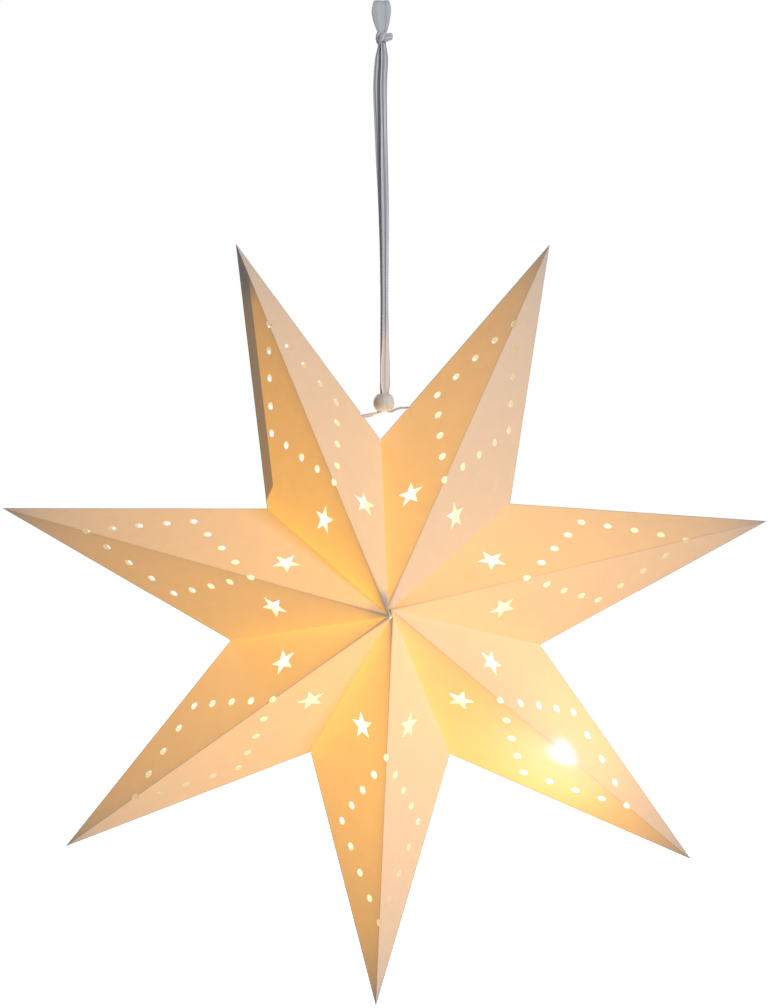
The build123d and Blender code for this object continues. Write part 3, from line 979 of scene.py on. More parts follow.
@dataclass(frozen=True)
class FacetPlane:
    """A facet's plane: x runs from the apex along the ridge, and y across it to the valley."""

    apex: np.ndarray
    tip: np.ndarray
    valley: np.ndarray
    middle: np.ndarray

    @cached_property
    def ridge(self) -> float:
        """The ridge's length."""
        return np.linalg.norm(self.tip - self.apex)

    @cached_property
    def x_way(self) -> np.ndarray:
        """The direction of the ridge."""
        return (self.tip - self.apex) / self.ridge

    @cached_property
    def flat_valley(self) -> np.ndarray:
        """The valley's place in the plane."""
        reach = self.valley - self.apex
        along = reach @ self.x_way
        return np.array([along, np.linalg.norm(reach - along * self.x_way)])

    @cached_property
    def y_way(self) -> np.ndarray:
        """The direction across the ridge, to the valley's side."""
        along, across = self.flat_valley
        return (self.valley - self.apex - along * self.x_way) / across

    @cached_property
    def turned(self) -> bool:
        """Whether x, y and the outer side make a left-handed set."""
        return bool(np.cross(self.x_way, self.y_way) @ (self.apex - self.middle) <= 0)

    @cached_property
    def outward(self) -> np.ndarray:
        """The side that looks away from the star's middle."""
        normal = np.cross(self.x_way, self.y_way)
        return -normal if self.turned else normal

    @cached_property
    def fold(self) -> np.ndarray:
        """The direction of the valley fold in the plane."""
        return self.flat_valley / np.hypot(*self.flat_valley)

    def lay(self, points: np.ndarray) -> np.ndarray:
        """Flat points laid in the plane."""
        return self.apex + points[:, :1] * self.x_way + points[:, 1:] * self.y_way

    def shares(self, points: np.ndarray) -> tuple[np.ndarray, np.ndarray, np.ndarray]:
        """The points' barycentric shares of the apex, the tip and the valley.

        Args:
            points: places in the plane.

        Returns:
            The three shares of each point.
        """
        along, across = self.flat_valley
        valley = points[:, 1] / across
        tip = (points[:, 0] - valley * along) / self.ridge
        return 1 - valley - tip, tip, valley

    def off_fold(self, points: np.ndarray) -> np.ndarray:
        """The points' distance from the valley fold."""
        return np.abs(points[:, 0] * self.fold[1] - points[:, 1] * self.fold[0])

    def from_tip(self, points: np.ndarray) -> np.ndarray:
        """The points' distance from the tip."""
        return np.linalg.norm(points - np.array([self.ridge, 0.0]), axis=1)

    def along_outline(self, points: np.ndarray) -> tuple[np.ndarray, float]:
        """How far the points lie along the outline crease from the tip and off it, and its length.

        Args:
            points: places in the plane.

        Returns:
            Both distances and the length.
        """
        crease = self.flat_valley - np.array([self.ridge, 0.0])
        length = np.linalg.norm(crease)
        crease /= length
        reach = points - np.array([self.ridge, 0.0])
        off = np.abs(reach[:, 0] * crease[1] - reach[:, 1] * crease[0])
        return np.stack([reach @ crease, off], 1), length


@dataclass
class PaperSheet:
    """The mesh of one point while it is put together, corner by corner."""

    pairs: tuple = ("outline", "fold")
    numbers: tuple = ("glow", "hot", "inner", "tab", "outline_length", "seam", "crushed")
    places: list = field(default_factory=list)
    faces: list = field(default_factory=list)
    finish: list = field(default_factory=list)
    corners: dict = field(default_factory=dict)

    def add(self, places: np.ndarray, faces: np.ndarray, finish: int, **corners: np.ndarray) -> None:
        """Adds one island.

        Args:
            places: its vertices.
            faces: its triangles or quads, all of one kind.
            finish: its material slot.
            corners: a value for each vertex, written to each corner that uses it.
        """
        first = sum(len(p) for p in self.places)
        self.places.append(places)
        self.faces += (faces + first).tolist()
        self.finish += [finish] * len(faces)
        for name in (*self.pairs, *self.numbers):
            width = 2 if name in self.pairs else 1
            given = corners.get(name, np.zeros((len(places), width)))
            values = given.reshape(len(places), width)[faces.ravel()]
            self.corners.setdefault(name, []).append(values)

    def build(self, name: str) -> bpy.types.Object:
        """The mesh object, with its islands merged along shared folds.

        Args:
            name: the piece's name.

        Returns:
            The piece.
        """
        mesh = bpy.data.meshes.new(name)
        mesh.from_pydata(np.concatenate(self.places).tolist(), [], self.faces)
        mesh.polygons.foreach_set("material_index", np.array(self.finish, dtype=np.int32))
        for key, values in self.corners.items():
            flat = np.concatenate(values).astype(np.float32)
            if key in self.pairs:
                mesh.uv_layers.new(name=key).data.foreach_set("uv", flat.ravel())
            else:
                mesh.attributes.new(key, "FLOAT", "CORNER").data.foreach_set("value", flat.ravel())
        work = bmesh.new()
        work.from_mesh(mesh)
        bmesh.ops.remove_doubles(work, verts=work.verts, dist=0.02 * MM)
        for edge in work.edges:
            if len(edge.link_faces) != 2 or edge.calc_face_angle(0.0) > math.radians(12):
                edge.smooth = False
        for face in work.faces:
            face.smooth = True
        work.to_mesh(mesh)
        work.free()
        piece = bpy.data.objects.new(name, mesh)
        bpy.context.collection.objects.link(piece)
        return piece


@dataclass
class PaperPoints:
    """The seven points of folded card."""

    form: StarForm
    light: LampLight
    finish: PaperFinish
    lamp_point: str = "point_lower_right"
    hot_place: float = 169.0 * MM
    # painted shade along each point's ridge, and more of it towards the apex
    crushed: tuple = (0.22, 0.26, 0.16, 0.20, 0.34, 0.16, 0.12)
    crushed_at_apex: tuple = (0.25, 0.05, 0.05, 0.40, 0.30, 0.55, 0.55)
    crushed_reach: float = 26.0 * MM
    crushed_spread: float = 1.6
    closing_spread: float = 4.0
    lap: float = 0.12 * MM
    lap_width: tuple = (-0.3 * MM, 2.6 * MM)
    lap_slope: float = 0.28
    lap_light: float = 0.92
    tip_dark: float = 0.72
    tip_shade: float = 24.0 * MM
    closed_tip: tuple = (24.0 * MM, 54.0 * MM)
    closed_light: float = 0.22
    valley_bright: float = 0.38
    valley_reach: float = 11.0 * MM
    ridge_dark: float = 0.22
    ridge_reach: float = 6.0 * MM
    apex_dark: float = 0.45
    bow: float = 1.0 * MM
    gains: tuple = (
        ((0, Side.LEFT), 0.96),
        ((0, Side.RIGHT), 0.70),
        ((1, Side.LEFT), 0.89),
        ((1, Side.RIGHT), 1.10),
        ((2, Side.LEFT), 0.88),
        ((2, Side.RIGHT), 1.25),
        ((3, Side.LEFT), 1.03),
        ((4, Side.LEFT), 1.14),
        ((4, Side.RIGHT), 0.97),
        ((5, Side.LEFT), 0.93),
        ((5, Side.RIGHT), 0.92),
        ((6, Side.LEFT), 1.03),
        ((6, Side.RIGHT), 0.76),
    )
    apex_shades: tuple = (
        ((6, Side.RIGHT), 0.95),
        ((5, Side.RIGHT), 0.40),
        ((5, Side.LEFT), 0.25),
        ((6, Side.LEFT), 0.20),
    )
    bright_side: tuple = (0.985, 0.0, 0.174)
    tie_from_valley: dict = field(default_factory=lambda: {Side.LEFT: 32.0, Side.RIGHT: 22.5})
    flange_width: float = 6.0 * MM
    flange_start: float = 12.0 * MM
    flange_stop: float = 4.0 * MM
    flange_slant: float = 5.0 * MM
    flange_gap: float = 0.3 * MM
    flange_off: float = 0.15 * MM
    tab_slant: float = 8.0 * MM
    tab_stop: float = 5.0 * MM
    tab_below: float = 1.15
    apex_shade: tuple = (11.9 * MM, 25.5 * MM)
    least_apex_shade: float = 0.04
    tuck_depth: float = 3.4 * MM
    tuck_half: float = 2.6 * MM
    tuck_off: tuple = (0.8, 1.4)
    apex_reach: float = 45.0 * MM

    def dress(self) -> None:
        """Builds every point and hides the plain solid that it stands for."""
        materials = [self.finish.outside(), self.finish.inside(), self.finish.cut()]
        draw = np.random.default_rng(SEED)
        for index, name in enumerate(self.form.names):
            sheet = PaperSheet()
            for face in Face:
                for side in Side:
                    self.add_facet(sheet, index, face, side, self.bow * draw.uniform(-0.5, 1.0))
                    self.add_flange(sheet, index, face, side)
            self.add_tab(sheet, index)
            piece = sheet.build(name + "_paper")
            for material in materials:
                piece.data.materials.append(material)
            self.thicken(piece)
            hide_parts(name)
            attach(piece, Body.STAR.value)
            LOG.info("%s: %d faces of card", piece.name, len(piece.data.polygons))

    def thicken(self, piece: bpy.types.Object) -> None:
        """Gives the card its thickness inwards, with finishes of its own inside and at cuts.

        Args:
            piece: the point's piece.
        """
        wall = piece.modifiers.new("card", "SOLIDIFY")
        wall.thickness = self.form.paper
        wall.offset = -1.0
        wall.material_offset = 1
        wall.material_offset_rim = 2

    def corners(self, index: int, face: Face, side: Side) -> tuple[np.ndarray, np.ndarray, np.ndarray]:
        """A facet's apex, tip and valley.

        Args:
            index: the point's place in the row.
            face: the star's face.
            side: the side of the ridge.

        Returns:
            The three corners.
        """
        form = self.form
        seam = form.at_seam(index, side)
        azimuth = form.azimuth(index)
        radius = form.seam_valley_radius if seam else form.valley_radius
        tip = form.spot(form.tip_radius, azimuth) + form.aside(form.tips_off[index])
        valley = form.spot(radius, azimuth + form.turn(index, side))
        valley = valley + form.aside(form.valleys_off[index + (side is Side.RIGHT)])
        if seam:
            valley = valley + form.gap_shift(index)
        return form.apex(index, face), tip, valley

    def joint(self, index: int, face: Face, side: Side) -> np.ndarray:
        """Where the valley fold on one side of a point ends, midway to its neighbour's apex.

        Args:
            index: the point's place in the row.
            face: the star's face.
            side: the side of the ridge.

        Returns:
            The place.
        """
        apex = self.form.apex(index, face)
        if self.form.at_seam(index, side):
            return apex
        return (apex + self.form.apex(index + side.value, face)) / 2

    def add_facet(self, sheet: PaperSheet, index: int, face: Face, side: Side, bow: float) -> None:
        """Adds one facet of the point.

        The flat triangle is laid in its plane and bowed by 27 times the product of its three
        barycentric shares, which is 1 in the middle and 0 along every fold. Towards the middle
        of the star its valley side is drawn to where the neighbour's fold ends.

        Args:
            sheet: the mesh of the point.
            index: the point's place in the row.
            face: the star's face that the facet is on.
            side: the side of the ridge.
            bow: how far its middle stands out.
        """
        form = self.form
        plane = FacetPlane(*self.corners(index, face, side), form.spot(0, 0))
        front = face is Face.FRONT
        closing = index == form.last and side is Side.RIGHT
        opening = index == 0 and side is Side.LEFT
        tie = self.tie_from_valley[side] if form.at_seam(index, side) else 0.0
        slip = form.pattern_slip if closing and front else 0.0
        points, faces = PunchedFacet(plane.ridge / MM, plane.flat_valley / MM, tie, slip).mesh()
        points = points * MM
        if plane.turned:
            faces = faces[:, ::-1]
        share_apex, share_tip, share_valley = plane.shares(points)
        rise = bow * 27 * np.clip(share_valley * share_tip * share_apex, 0, None)
        off_ridge = share_valley / (share_valley + share_tip + 1e-6)
        drawn = self.joint(index, face, side) - plane.apex
        places = plane.lay(points) + rise[:, None] * plane.outward
        places = places + (share_apex * off_ridge ** 2)[:, None] * drawn
        off_fold = plane.off_fold(points)
        lapped = (off_fold < 0.01 * MM) & (share_apex > 1e-4) & (share_valley < 1 - 1e-4)
        lapped &= share_valley > 1e-4
        aside = plane.fold[1] * plane.x_way - plane.fold[0] * plane.y_way
        places = places - self.lap * lapped[:, None] * aside
        at_apex = np.exp(-np.linalg.norm(points, axis=1) / self.crushed_reach)
        widened = self.closing_spread if closing else self.crushed_spread
        outline, length = plane.along_outline(points)
        hot = self.hot_spot(places, index, face, side)
        normals = np.broadcast_to(plane.outward, places.shape)
        tab = side is Side.LEFT and front == (index == form.last)
        sheet.add(
            places,
            faces,
            0,
            outline=outline,
            fold=np.stack([points[:, 1] / (1 + widened * at_apex), off_fold], 1),
            glow=self.glow(index, side, tab, plane, points, places),
            hot=hot,
            inner=self.light.inner(places, normals),
            tab=np.full(len(places), float(tab)),
            outline_length=np.full(len(places), length),
            seam=np.full(len(places), float(opening and front)),
            crushed=self.crushed[index] + self.crushed_at_apex[index] * at_apex,
        )
        if opening:
            self.add_lap(sheet, plane)
        if closing and front:
            self.add_tucked_end(sheet)

    def glow(
        self,
        index: int,
        side: Side,
        tab: bool,
        plane: FacetPlane,
        points: np.ndarray,
        places: np.ndarray,
    ) -> np.ndarray:
        """The lamp's light through a facet.

        It is dimmed at the apex, at the tip, where a tab closes the tip, and along the ridge on
        the side that the key light leaves in shade, and raised there along the valley.

        Args:
            index: the point's place in the row.
            side: the side of the ridge.
            tab: whether the closing tab lies under this facet.
            plane: the facet's plane.
            points: its points in that plane.
            places: its points as they stand.

        Returns:
            The light at each point.
        """
        normals = np.broadcast_to(plane.outward, places.shape)
        glow = self.light.through(places, normals) * dict(self.gains).get((index, side), 1.0)
        from_apex, from_tip = np.linalg.norm(points, axis=1), plane.from_tip(points)
        near = 1 - eased(from_apex, *self.apex_shade)
        glow = glow * (1 - near * dict(self.apex_shades).get((index, side), self.least_apex_shade))
        glow = glow * (1 - self.tip_dark * np.exp(-from_tip / self.tip_shade))
        if tab:
            opened = eased(from_tip, *self.closed_tip)
            glow = glow * (self.closed_light + (1 - self.closed_light) * opened)
        shaded = np.clip(-(plane.outward @ self.bright_side), 0, 1)
        glow = glow * (1 + self.valley_bright * shaded * np.exp(-plane.off_fold(points) / self.valley_reach))
        depth = self.ridge_dark + self.apex_dark * np.exp(-from_apex / self.apex_reach)
        return glow * (1 - depth * shaded * np.exp(-points[:, 1] / self.ridge_reach))

    def hot_spot(self, places: np.ndarray, index: int, face: Face, side: Side) -> np.ndarray:
        """The bright spot on the facets that the globe lies against, and nothing on the others.

        Args:
            places: the places.
            index: the point's place in the row.
            face: the star's face.
            side: the side of the ridge.

        Returns:
            The extra light at each place.
        """
        form = self.form
        if form.names[index] != self.lamp_point:
            return np.zeros(len(places))
        forward = form.half_depth * (1 - self.hot_place / form.tip_radius) * face.value
        return self.light.hot(places, form.spot(self.hot_place, form.azimuth(index), forward), side)

    def add_tucked_end(self, sheet: PaperSheet) -> None:
        """Adds the end of the closing point, tucked flat behind the place where the folds meet.

        It is a small square facing forward, dull on its left and lit through on its right.

        Args:
            sheet: the mesh of the point.
        """
        across = np.linspace(-1, 1, 5)
        x, z = (part.ravel() for part in np.meshgrid(across, across))
        middle = self.form.spot(0.0, 0.0, self.form.half_depth - self.tuck_depth)
        middle = middle + self.form.aside(self.tuck_off)
        places = middle + self.tuck_half * np.stack([x, 0 * x, z], 1)
        glow = 0.05 + 0.8 * eased(x, -0.1, 0.7)
        far = np.full((len(places), 2), 0.05)
        sheet.add(places, grid_faces(5, 5), 0, outline=far, fold=far, glow=glow)

    def add_lap(self, sheet: PaperSheet, plane: FacetPlane) -> None:
        """Adds the flange that closes the open seam, seen as a narrow lit strip in the gap.

        Args:
            sheet: the mesh of the point on the seam's right.
            plane: the plane of its facet at the seam.
        """
        rows, columns = 60, 5
        along = plane.valley - plane.apex
        across = unit(np.cross(plane.outward, unit(along)))
        across = across if across @ plane.x_way < 0 else -across
        share = np.linspace(0.02, 0.985, rows)[:, None, None]
        width = np.linspace(*self.lap_width, columns)[None, :, None]
        depth = 0.05 * MM + self.lap_slope * np.clip(width, 0, None)
        grid = plane.apex + share * along + width * across - depth * plane.outward
        places = grid.reshape(-1, 3)
        faces = facing(places, grid_faces(rows, columns), plane.outward)
        far = np.full((len(places), 2), 0.05)
        glow = self.lap_light * self.light.through(places, np.broadcast_to(plane.outward, places.shape))
        sheet.add(places, faces, 0, outline=far, fold=far * 0, glow=glow, seam=np.ones(len(places)))

    def add_flange(self, sheet: PaperSheet, index: int, face: Face, side: Side) -> None:
        """Adds the turned-in strip along the valley fold, in the plane between two points.

        Args:
            sheet: the mesh of the point.
            index: the point's place in the row.
            face: the star's face.
            side: the side of the ridge.
        """
        form = self.form
        _, _, valley = self.corners(index, face, side)
        apex = self.joint(index, face, side)
        fold = valley - apex
        length = np.linalg.norm(fold)
        fold /= length
        inward = np.cross(fold, np.cross(form.spot(0, 0) - apex, fold))
        inward /= np.linalg.norm(inward)
        azimuth = math.radians(form.azimuth(index) + form.turn(index, side))
        away = np.array([-math.sin(azimuth), 0.0, math.cos(azimuth)])
        away = away if side is Side.LEFT else -away
        across = np.linspace(0, 1, 4)[None, :]
        slant = self.flange_slant * across
        ends = (self.flange_start + slant, length - self.flange_stop - slant)
        depth = self.flange_gap + self.flange_width * across
        self.add_strip(sheet, (apex, fold, inward, away), ends, depth, self.flange_off, 25)

    def add_tab(self, sheet: PaperSheet, index: int) -> None:
        """Adds the closing tab inside its facet, one card thickness in.

        Args:
            sheet: the mesh of the point.
            index: the point's place in the row.
        """
        form = self.form
        face = Face.FRONT if index == form.last else Face.BACK
        apex, tip, valley = self.corners(index, face, Side.LEFT)
        along_way = valley - tip
        length = np.linalg.norm(along_way)
        along_way /= length
        reach = apex - tip
        inward = reach - (reach @ along_way) * along_way
        inward /= np.linalg.norm(inward)
        normal = np.cross(along_way, inward)
        outward = normal if normal @ (apex - form.spot(0, 0)) > 0 else -normal
        across = np.linspace(0.04, 1, 5)[None, :]
        begin = self.finish.tab_tip + self.finish.tab_taper * across
        ends = (begin, length - self.tab_stop - self.tab_slant * across)
        depth = self.finish.tab_width * across
        self.add_strip(sheet, (tip, along_way, inward, outward), ends, depth, self.tab_below * form.paper, 40)

    def add_strip(
        self,
        sheet: PaperSheet,
        frame: tuple[np.ndarray, np.ndarray, np.ndarray, np.ndarray],
        ends: tuple[np.ndarray, np.ndarray],
        depth: np.ndarray,
        below: float,
        rows: int,
    ) -> None:
        """Adds a strip of card inside the point: straight lines side by side, with slanted ends.

        Args:
            sheet: the mesh of the point.
            frame: where the strip starts, the ways along and across it, and its outer side.
            ends: where each line starts and ends, along the strip.
            depth: how far each line stands off the fold.
            below: how far the strip lies under the surface.
            rows: the number of places along each line.
        """
        origin, way, inward, outward = frame
        begin, end = ends
        along = begin + (end - begin) * np.linspace(0, 1, rows)[:, None]
        across = np.broadcast_to(depth, along.shape)
        places = origin + along.reshape(-1, 1) * way + across.reshape(-1, 1) * inward
        places = places - below * outward
        faces = facing(places, grid_faces(*along.shape), outward)
        lit = self.light.inner(places, np.broadcast_to(outward, places.shape))
        sheet.add(places, faces, 1, inner=lit)


def grid_faces(rows: int, columns: int, closed: bool = False) -> np.ndarray:
    """Quads over a grid of vertices stored row by row.

    Args:
        rows: the number of rows.
        columns: the number of vertices in a row.
        closed: whether the last column joins the first.

    Returns:
        One quad a row, as vertex indices.
    """
    row = np.arange(rows - 1)[:, None]
    column = np.arange(columns if closed else columns - 1)[None, :]
    after = (column + 1) % columns
    first = row * columns + column
    second = row * columns + after
    quads = np.stack([first, second, second + columns, first + columns], axis=-1)
    return quads.reshape(-1, 4)


def rounded_ends(share: np.ndarray, power: int) -> np.ndarray:
    """1 along a piece and 0 at both its ends, blunter with a higher even power."""
    return np.sqrt(np.clip(1 - (2 * share - 1) ** power, 0, 1))


def facing(places: np.ndarray, faces: np.ndarray, outward: np.ndarray) -> np.ndarray:
    """Faces that look outwards: they are turned over if the first one looks the other way.

    Args:
        places: the places.
        faces: the faces.
        outward: the outer side.

    Returns:
        The faces, turned over or as they were.
    """
    first = places[faces[0]]
    if np.cross(first[1] - first[0], first[2] - first[1]) @ outward < 0:
        return faces[:, ::-1]
    return faces


def surface_piece(
    name: str,
    grids: list[np.ndarray],
    material: bpy.types.Material,
    closed: bool = False,
    uv: list[np.ndarray] | None = None,
    **numbers: list[np.ndarray],
) -> bpy.types.Object:
    """A smooth mesh made of surface grids.

    Args:
        name: the piece's name.
        grids: arrays of rows x columns x 3.
        material: its finish.
        closed: whether each grid's columns close into a tube.
        uv: for each grid, rows x columns x 2 in metres, for the map named ribbon.
        numbers: attributes, for each grid rows x columns.

    Returns:
        The object, linked to the scene.
    """
    faces, first = [], 0
    for grid in grids:
        faces.append(grid_faces(grid.shape[0], grid.shape[1], closed) + first)
        first += grid.shape[0] * grid.shape[1]
    faces = np.concatenate(faces)
    mesh = bpy.data.meshes.new(name)
    mesh.from_pydata(np.concatenate([g.reshape(-1, 3) for g in grids]).tolist(), [], faces.tolist())
    if uv is not None:
        flat = np.concatenate([u.reshape(-1, 2) for u in uv])[faces.ravel()]
        mesh.uv_layers.new(name="ribbon").data.foreach_set("uv", flat.astype(np.float32).ravel())
    for key, values in numbers.items():
        flat = np.concatenate([v.ravel() for v in values]).astype(np.float32)
        mesh.attributes.new(key, "FLOAT", "POINT").data.foreach_set("value", flat)
    mesh.polygons.foreach_set("use_smooth", np.ones(len(mesh.polygons), dtype=bool))
    mesh.update()
    mesh.materials.append(material)
    piece = bpy.data.objects.new(name, mesh)
    bpy.context.collection.objects.link(piece)
    return piece


def unit(vectors: np.ndarray) -> np.ndarray:
    """Vectors scaled to length 1, row by row."""
    return vectors / np.linalg.norm(vectors, axis=-1, keepdims=True)


def eased(value: np.ndarray, start: float, stop: float) -> np.ndarray:
    """0 before start, 1 after stop, and 3t^2 - 2t^3 between them."""
    share = np.clip((value - start) / (stop - start), 0.0, 1.0)
    return share * share * (3 - 2 * share)


def smooth_line(name: str, route: list[tuple]) -> np.ndarray:
    """The NURBS line of order 3 through a given route, as points a fraction of a mm apart.

    Args:
        name: the name of the curve that carries it.
        route: its control points, in metres.

    Returns:
        The line's points, as rows.
    """
    curve = bpy.data.curves.new(name, "CURVE")
    curve.dimensions = "3D"
    spline = curve.splines.new("NURBS")
    spline.points.add(len(route) - 1)
    for point, place in zip(spline.points, route):
        point.co = (*place, 1.0)
    spline.order_u = 3
    spline.use_endpoint_u = True
    spline.resolution_u = 24
    carrier = bpy.data.objects.new(name, curve)
    bpy.context.collection.objects.link(carrier)
    bpy.context.view_layer.update()
    mesh = bpy.data.meshes.new_from_object(carrier)
    line = np.zeros(3 * len(mesh.vertices))
    mesh.vertices.foreach_get("co", line)
    bpy.data.objects.remove(carrier)
    bpy.data.curves.remove(curve)
    bpy.data.meshes.remove(mesh)
    return line.reshape(-1, 3)


@dataclass
class Ribbon:
    """The doubled ribbon, its knot and the knots at its ends.

    The route runs from the hole in the left end point up through the bead, round the loop,
    and back down to the right end point. Each station holds the place in mm, the ribbon's
    width there in mm, and how far it is rolled into a cord.
    """

    finish: SatinFinish
    thickness: float = 0.25 * MM
    roll_share: float = 0.17
    pleat_depth: float = 0.34 * MM
    step: float = 0.9 * MM
    loose_width: float = 9.0 * MM
    tight_width: float = 6.0 * MM
    level_from: float = -60.0 * MM
    level_to: float = -40.0 * MM
    calm: float = 0.85
    calm_from: float = -245 * MM
    calm_to: float = -268 * MM
    stations: tuple = (
        (-19.4, 0.0, -312.3, 7.0, 1.0),
        (-15.5, 0.0, -311.8, 7.0, 1.0),
        (-9.5, 0.0, -310.4, 7.0, 1.0),
        (-4.4, 0.2, -309.7, 7.0, 1.0),
        (-1.9, 0.9, -307.0, 6.6, 1.0),
        (-0.9, 1.2, -300.0, 5.6, 0.45),
        (-0.2, 1.2, -288.6, 5.0, 0.0),
        (0.0, 1.2, -273.0, 5.0, 0.0),
        (0.2, 1.3, -225.0, 4.2, 0.0),
        (-0.3, 1.3, -150.0, 5.4, 0.0),
        (-2.0, 1.2, -120.0, 5.5, 0.0),
        (-3.2, 1.1, -90.0, 5.4, 0.0),
        (-4.1, 1.1, -68.0, 5.4, 0.0),
        (-3.9, 1.1, -57.0, 5.3, 0.0),
        (-2.7, 1.0, -43.0, 5.2, 0.0),
        (-1.1, 0.8, -33.0, 3.4, 0.0),
        (0.2, -0.3, -27.0, 4.4, 0.0),
        (0.5, -1.6, -21.5, 8.6, 0.0),
        (0.2, -3.0, -14.0, 12.8, 0.0),
        (0.0, -3.7, -7.0, 14.9, 0.0),
        (0.0, -3.6, -1.6, 13.2, 0.0),
        (0.0, -1.6, 0.6, 10.6, 0.0),
        (0.0, 1.6, 0.6, 10.6, 0.0),
        (0.0, 3.6, -1.6, 13.2, 0.0),
        (0.0, 3.7, -7.0, 14.6, 0.0),
        (0.2, 3.0, -14.0, 12.2, 0.0),
        (0.5, 1.6, -21.5, 8.0, 0.0),
        (0.8, 0.3, -27.0, 4.4, 0.0),
        (1.3, -0.7, -33.0, 3.8, 0.0),
        (2.2, -1.0, -43.0, 5.2, 0.0),
        (1.3, -1.2, -57.0, 5.0, 0.0),
        (1.0, -1.2, -68.0, 5.0, 0.0),
        (1.2, -1.2, -90.0, 4.9, 0.0),
        (1.4, -1.2, -120.0, 5.5, 0.0),
        (1.9, -1.2, -150.0, 5.8, 0.0),
        (1.4, -1.2, -225.0, 4.5, 0.0),
        (1.6, -1.2, -257.0, 5.2, 0.0),
        (1.2, -1.3, -273.0, 7.0, 0.0),
        (1.2, -1.3, -288.6, 6.9, 0.0),
        (1.6, -1.1, -300.0, 5.6, 0.45),
        (1.9, -0.7, -307.0, 6.6, 1.0),
        (4.4, -0.2, -309.1, 5.0, 1.0),
        (8.3, 0.0, -306.6, 4.4, 1.0),
        (13.0, 0.0, -305.4, 4.2, 1.0),
        (18.8, 0.0, -305.5, 4.2, 1.0),
        (22.6, 0.0, -305.0, 4.6, 1.0),
    )
    columns: int = 41

    def dress(self) -> None:
        satin = self.finish.make()
        band, line = self.band(satin)
        knot = self.main_knot(satin)
        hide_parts("ribbon_loop", "ribbon_left", "ribbon_right")
        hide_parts("ribbon_knot")
        for piece in (band, knot):
            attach(piece, Body.STAR.value)
        for side in Side:
            self.stop_knot(satin, side)

    def laid_out(self) -> tuple[np.ndarray, np.ndarray, np.ndarray, np.ndarray]:
        """The ribbon's middle line at even steps, with its width and how far it is rolled.

        Each station's width and roll count where the line comes nearest to it. Between the
        stations they change evenly, and a short bell smooths them.

        Returns:
            The line, the length up to each step, the width and the rolled share.
        """
        stations = np.array(self.stations)
        route = stations[:, :3] * MM
        line = smooth_line("ribbon_line", route.tolist())
        run = np.concatenate([[0.0], np.cumsum(np.linalg.norm(np.diff(line, axis=0), axis=1))])
        even = np.linspace(0.0, run[-1], round(run[-1] / self.step))
        line = np.stack([np.interp(even, run, line[:, axis]) for axis in range(3)], axis=1)
        gap = np.linalg.norm(line[None] - route[:, None], axis=2)
        order = np.linspace(0, len(line) - 1, len(stations))
        late = np.abs(np.arange(len(line))[None] - order[:, None]) > 0.22 * len(line)
        nearest = np.maximum.accumulate(even[np.where(late, np.inf, gap).argmin(1)])
        bell = np.hanning(9) / np.hanning(9).sum()
        width, rolled = (
            np.convolve(np.pad(np.interp(even, nearest, values), 4, "edge"), bell, "valid")
            for values in (stations[:, 3] * MM, stations[:, 4])
        )
        return line, even, width, rolled

    def ways(self, line: np.ndarray, even: np.ndarray) -> tuple[np.ndarray, np.ndarray]:
        """The directions across the ribbon and off its face, level across near the loop.

        Args:
            line: the ribbon's middle line.
            even: the length up to each step.

        Returns:
            The two directions at each step.
        """
        tangent = unit(np.gradient(line, axis=0))
        up = np.where(even < even[-1] / 2, 1.0, -1.0)[:, None]
        turned = unit(np.cross(np.array([0.0, 1.0, 0.0]), tangent) * up)
        level = np.array([1.0, 0.0, 0.0]) - tangent[:, :1] * tangent
        top = eased(line[:, 2], self.level_from, self.level_to)[:, None]
        lateral = unit((1 - top) * turned + top * unit(level + 1e-9))
        return lateral, np.cross(tangent, lateral)

    def band(self, satin: bpy.types.Material) -> tuple[bpy.types.Object, np.ndarray]:
        """The ribbon as one surface carried along its line.

        Across it, the section is part flat, (w/2 t, depth times a slow wave of t), and part
        rolled, (r sin 2.9t, -r cos 2.9t), blended by how far it is rolled there.

        Args:
            satin: the ribbon's material.

        Returns:
            The piece and its middle line.
        """
        line, even, width, rolled = self.laid_out()
        lateral, normal = self.ways(line, even)
        t = np.linspace(-1, 1, self.columns)[None, :]
        s = even[:, None] / MM
        tight = eased(-width, -self.loose_width, -self.tight_width)
        calm = eased(-line[:, 2], -self.calm_from, -self.calm_to)
        pleated = tight * (1 - self.calm * calm)
        depth = (self.pleat_depth * (0.35 + 0.65 * pleated))[:, None]
        wave = np.sin(1.7 * math.pi * t + 0.9 * np.sin(s / 47.0) + 0.4) + 0.28 * np.sin(
            3.9 * math.pi * t + s / 31.0
        )
        flat_x = width[:, None] / 2 * (t + 0.03 * np.sin(4.1 * t + s / 23.0))
        flat_y = depth * wave
        angle = 2.9 * t
        radius = width[:, None] * self.roll_share * (1 + 0.10 * np.cos(5 * angle + s / 3.0))
        round_x = radius * np.sin(angle)
        round_y = -radius * np.cos(angle)
        mix = rolled[:, None]
        x = (1 - mix) * flat_x + mix * round_x
        y = (1 - mix) * flat_y + mix * round_y
        grid = line[:, None] + x[..., None] * lateral[:, None] + y[..., None] * normal[:, None]
        # how deep each place lies in a pleat's trough, which the satin paints as shade
        trough = np.clip(0.5 - 0.5 * wave, 0, 1) * (1 - mix) * pleated[:, None]
        uv = np.stack(np.broadcast_arrays(even[:, None], width[:, None] / 2 * t), axis=-1)
        piece = surface_piece("ribbon_band", [grid], satin, uv=[uv], trough=[trough])
        wall = piece.modifiers.new("cloth", "SOLIDIFY")
        wall.thickness = self.thickness
        wall.offset = 0.0
        return piece, line

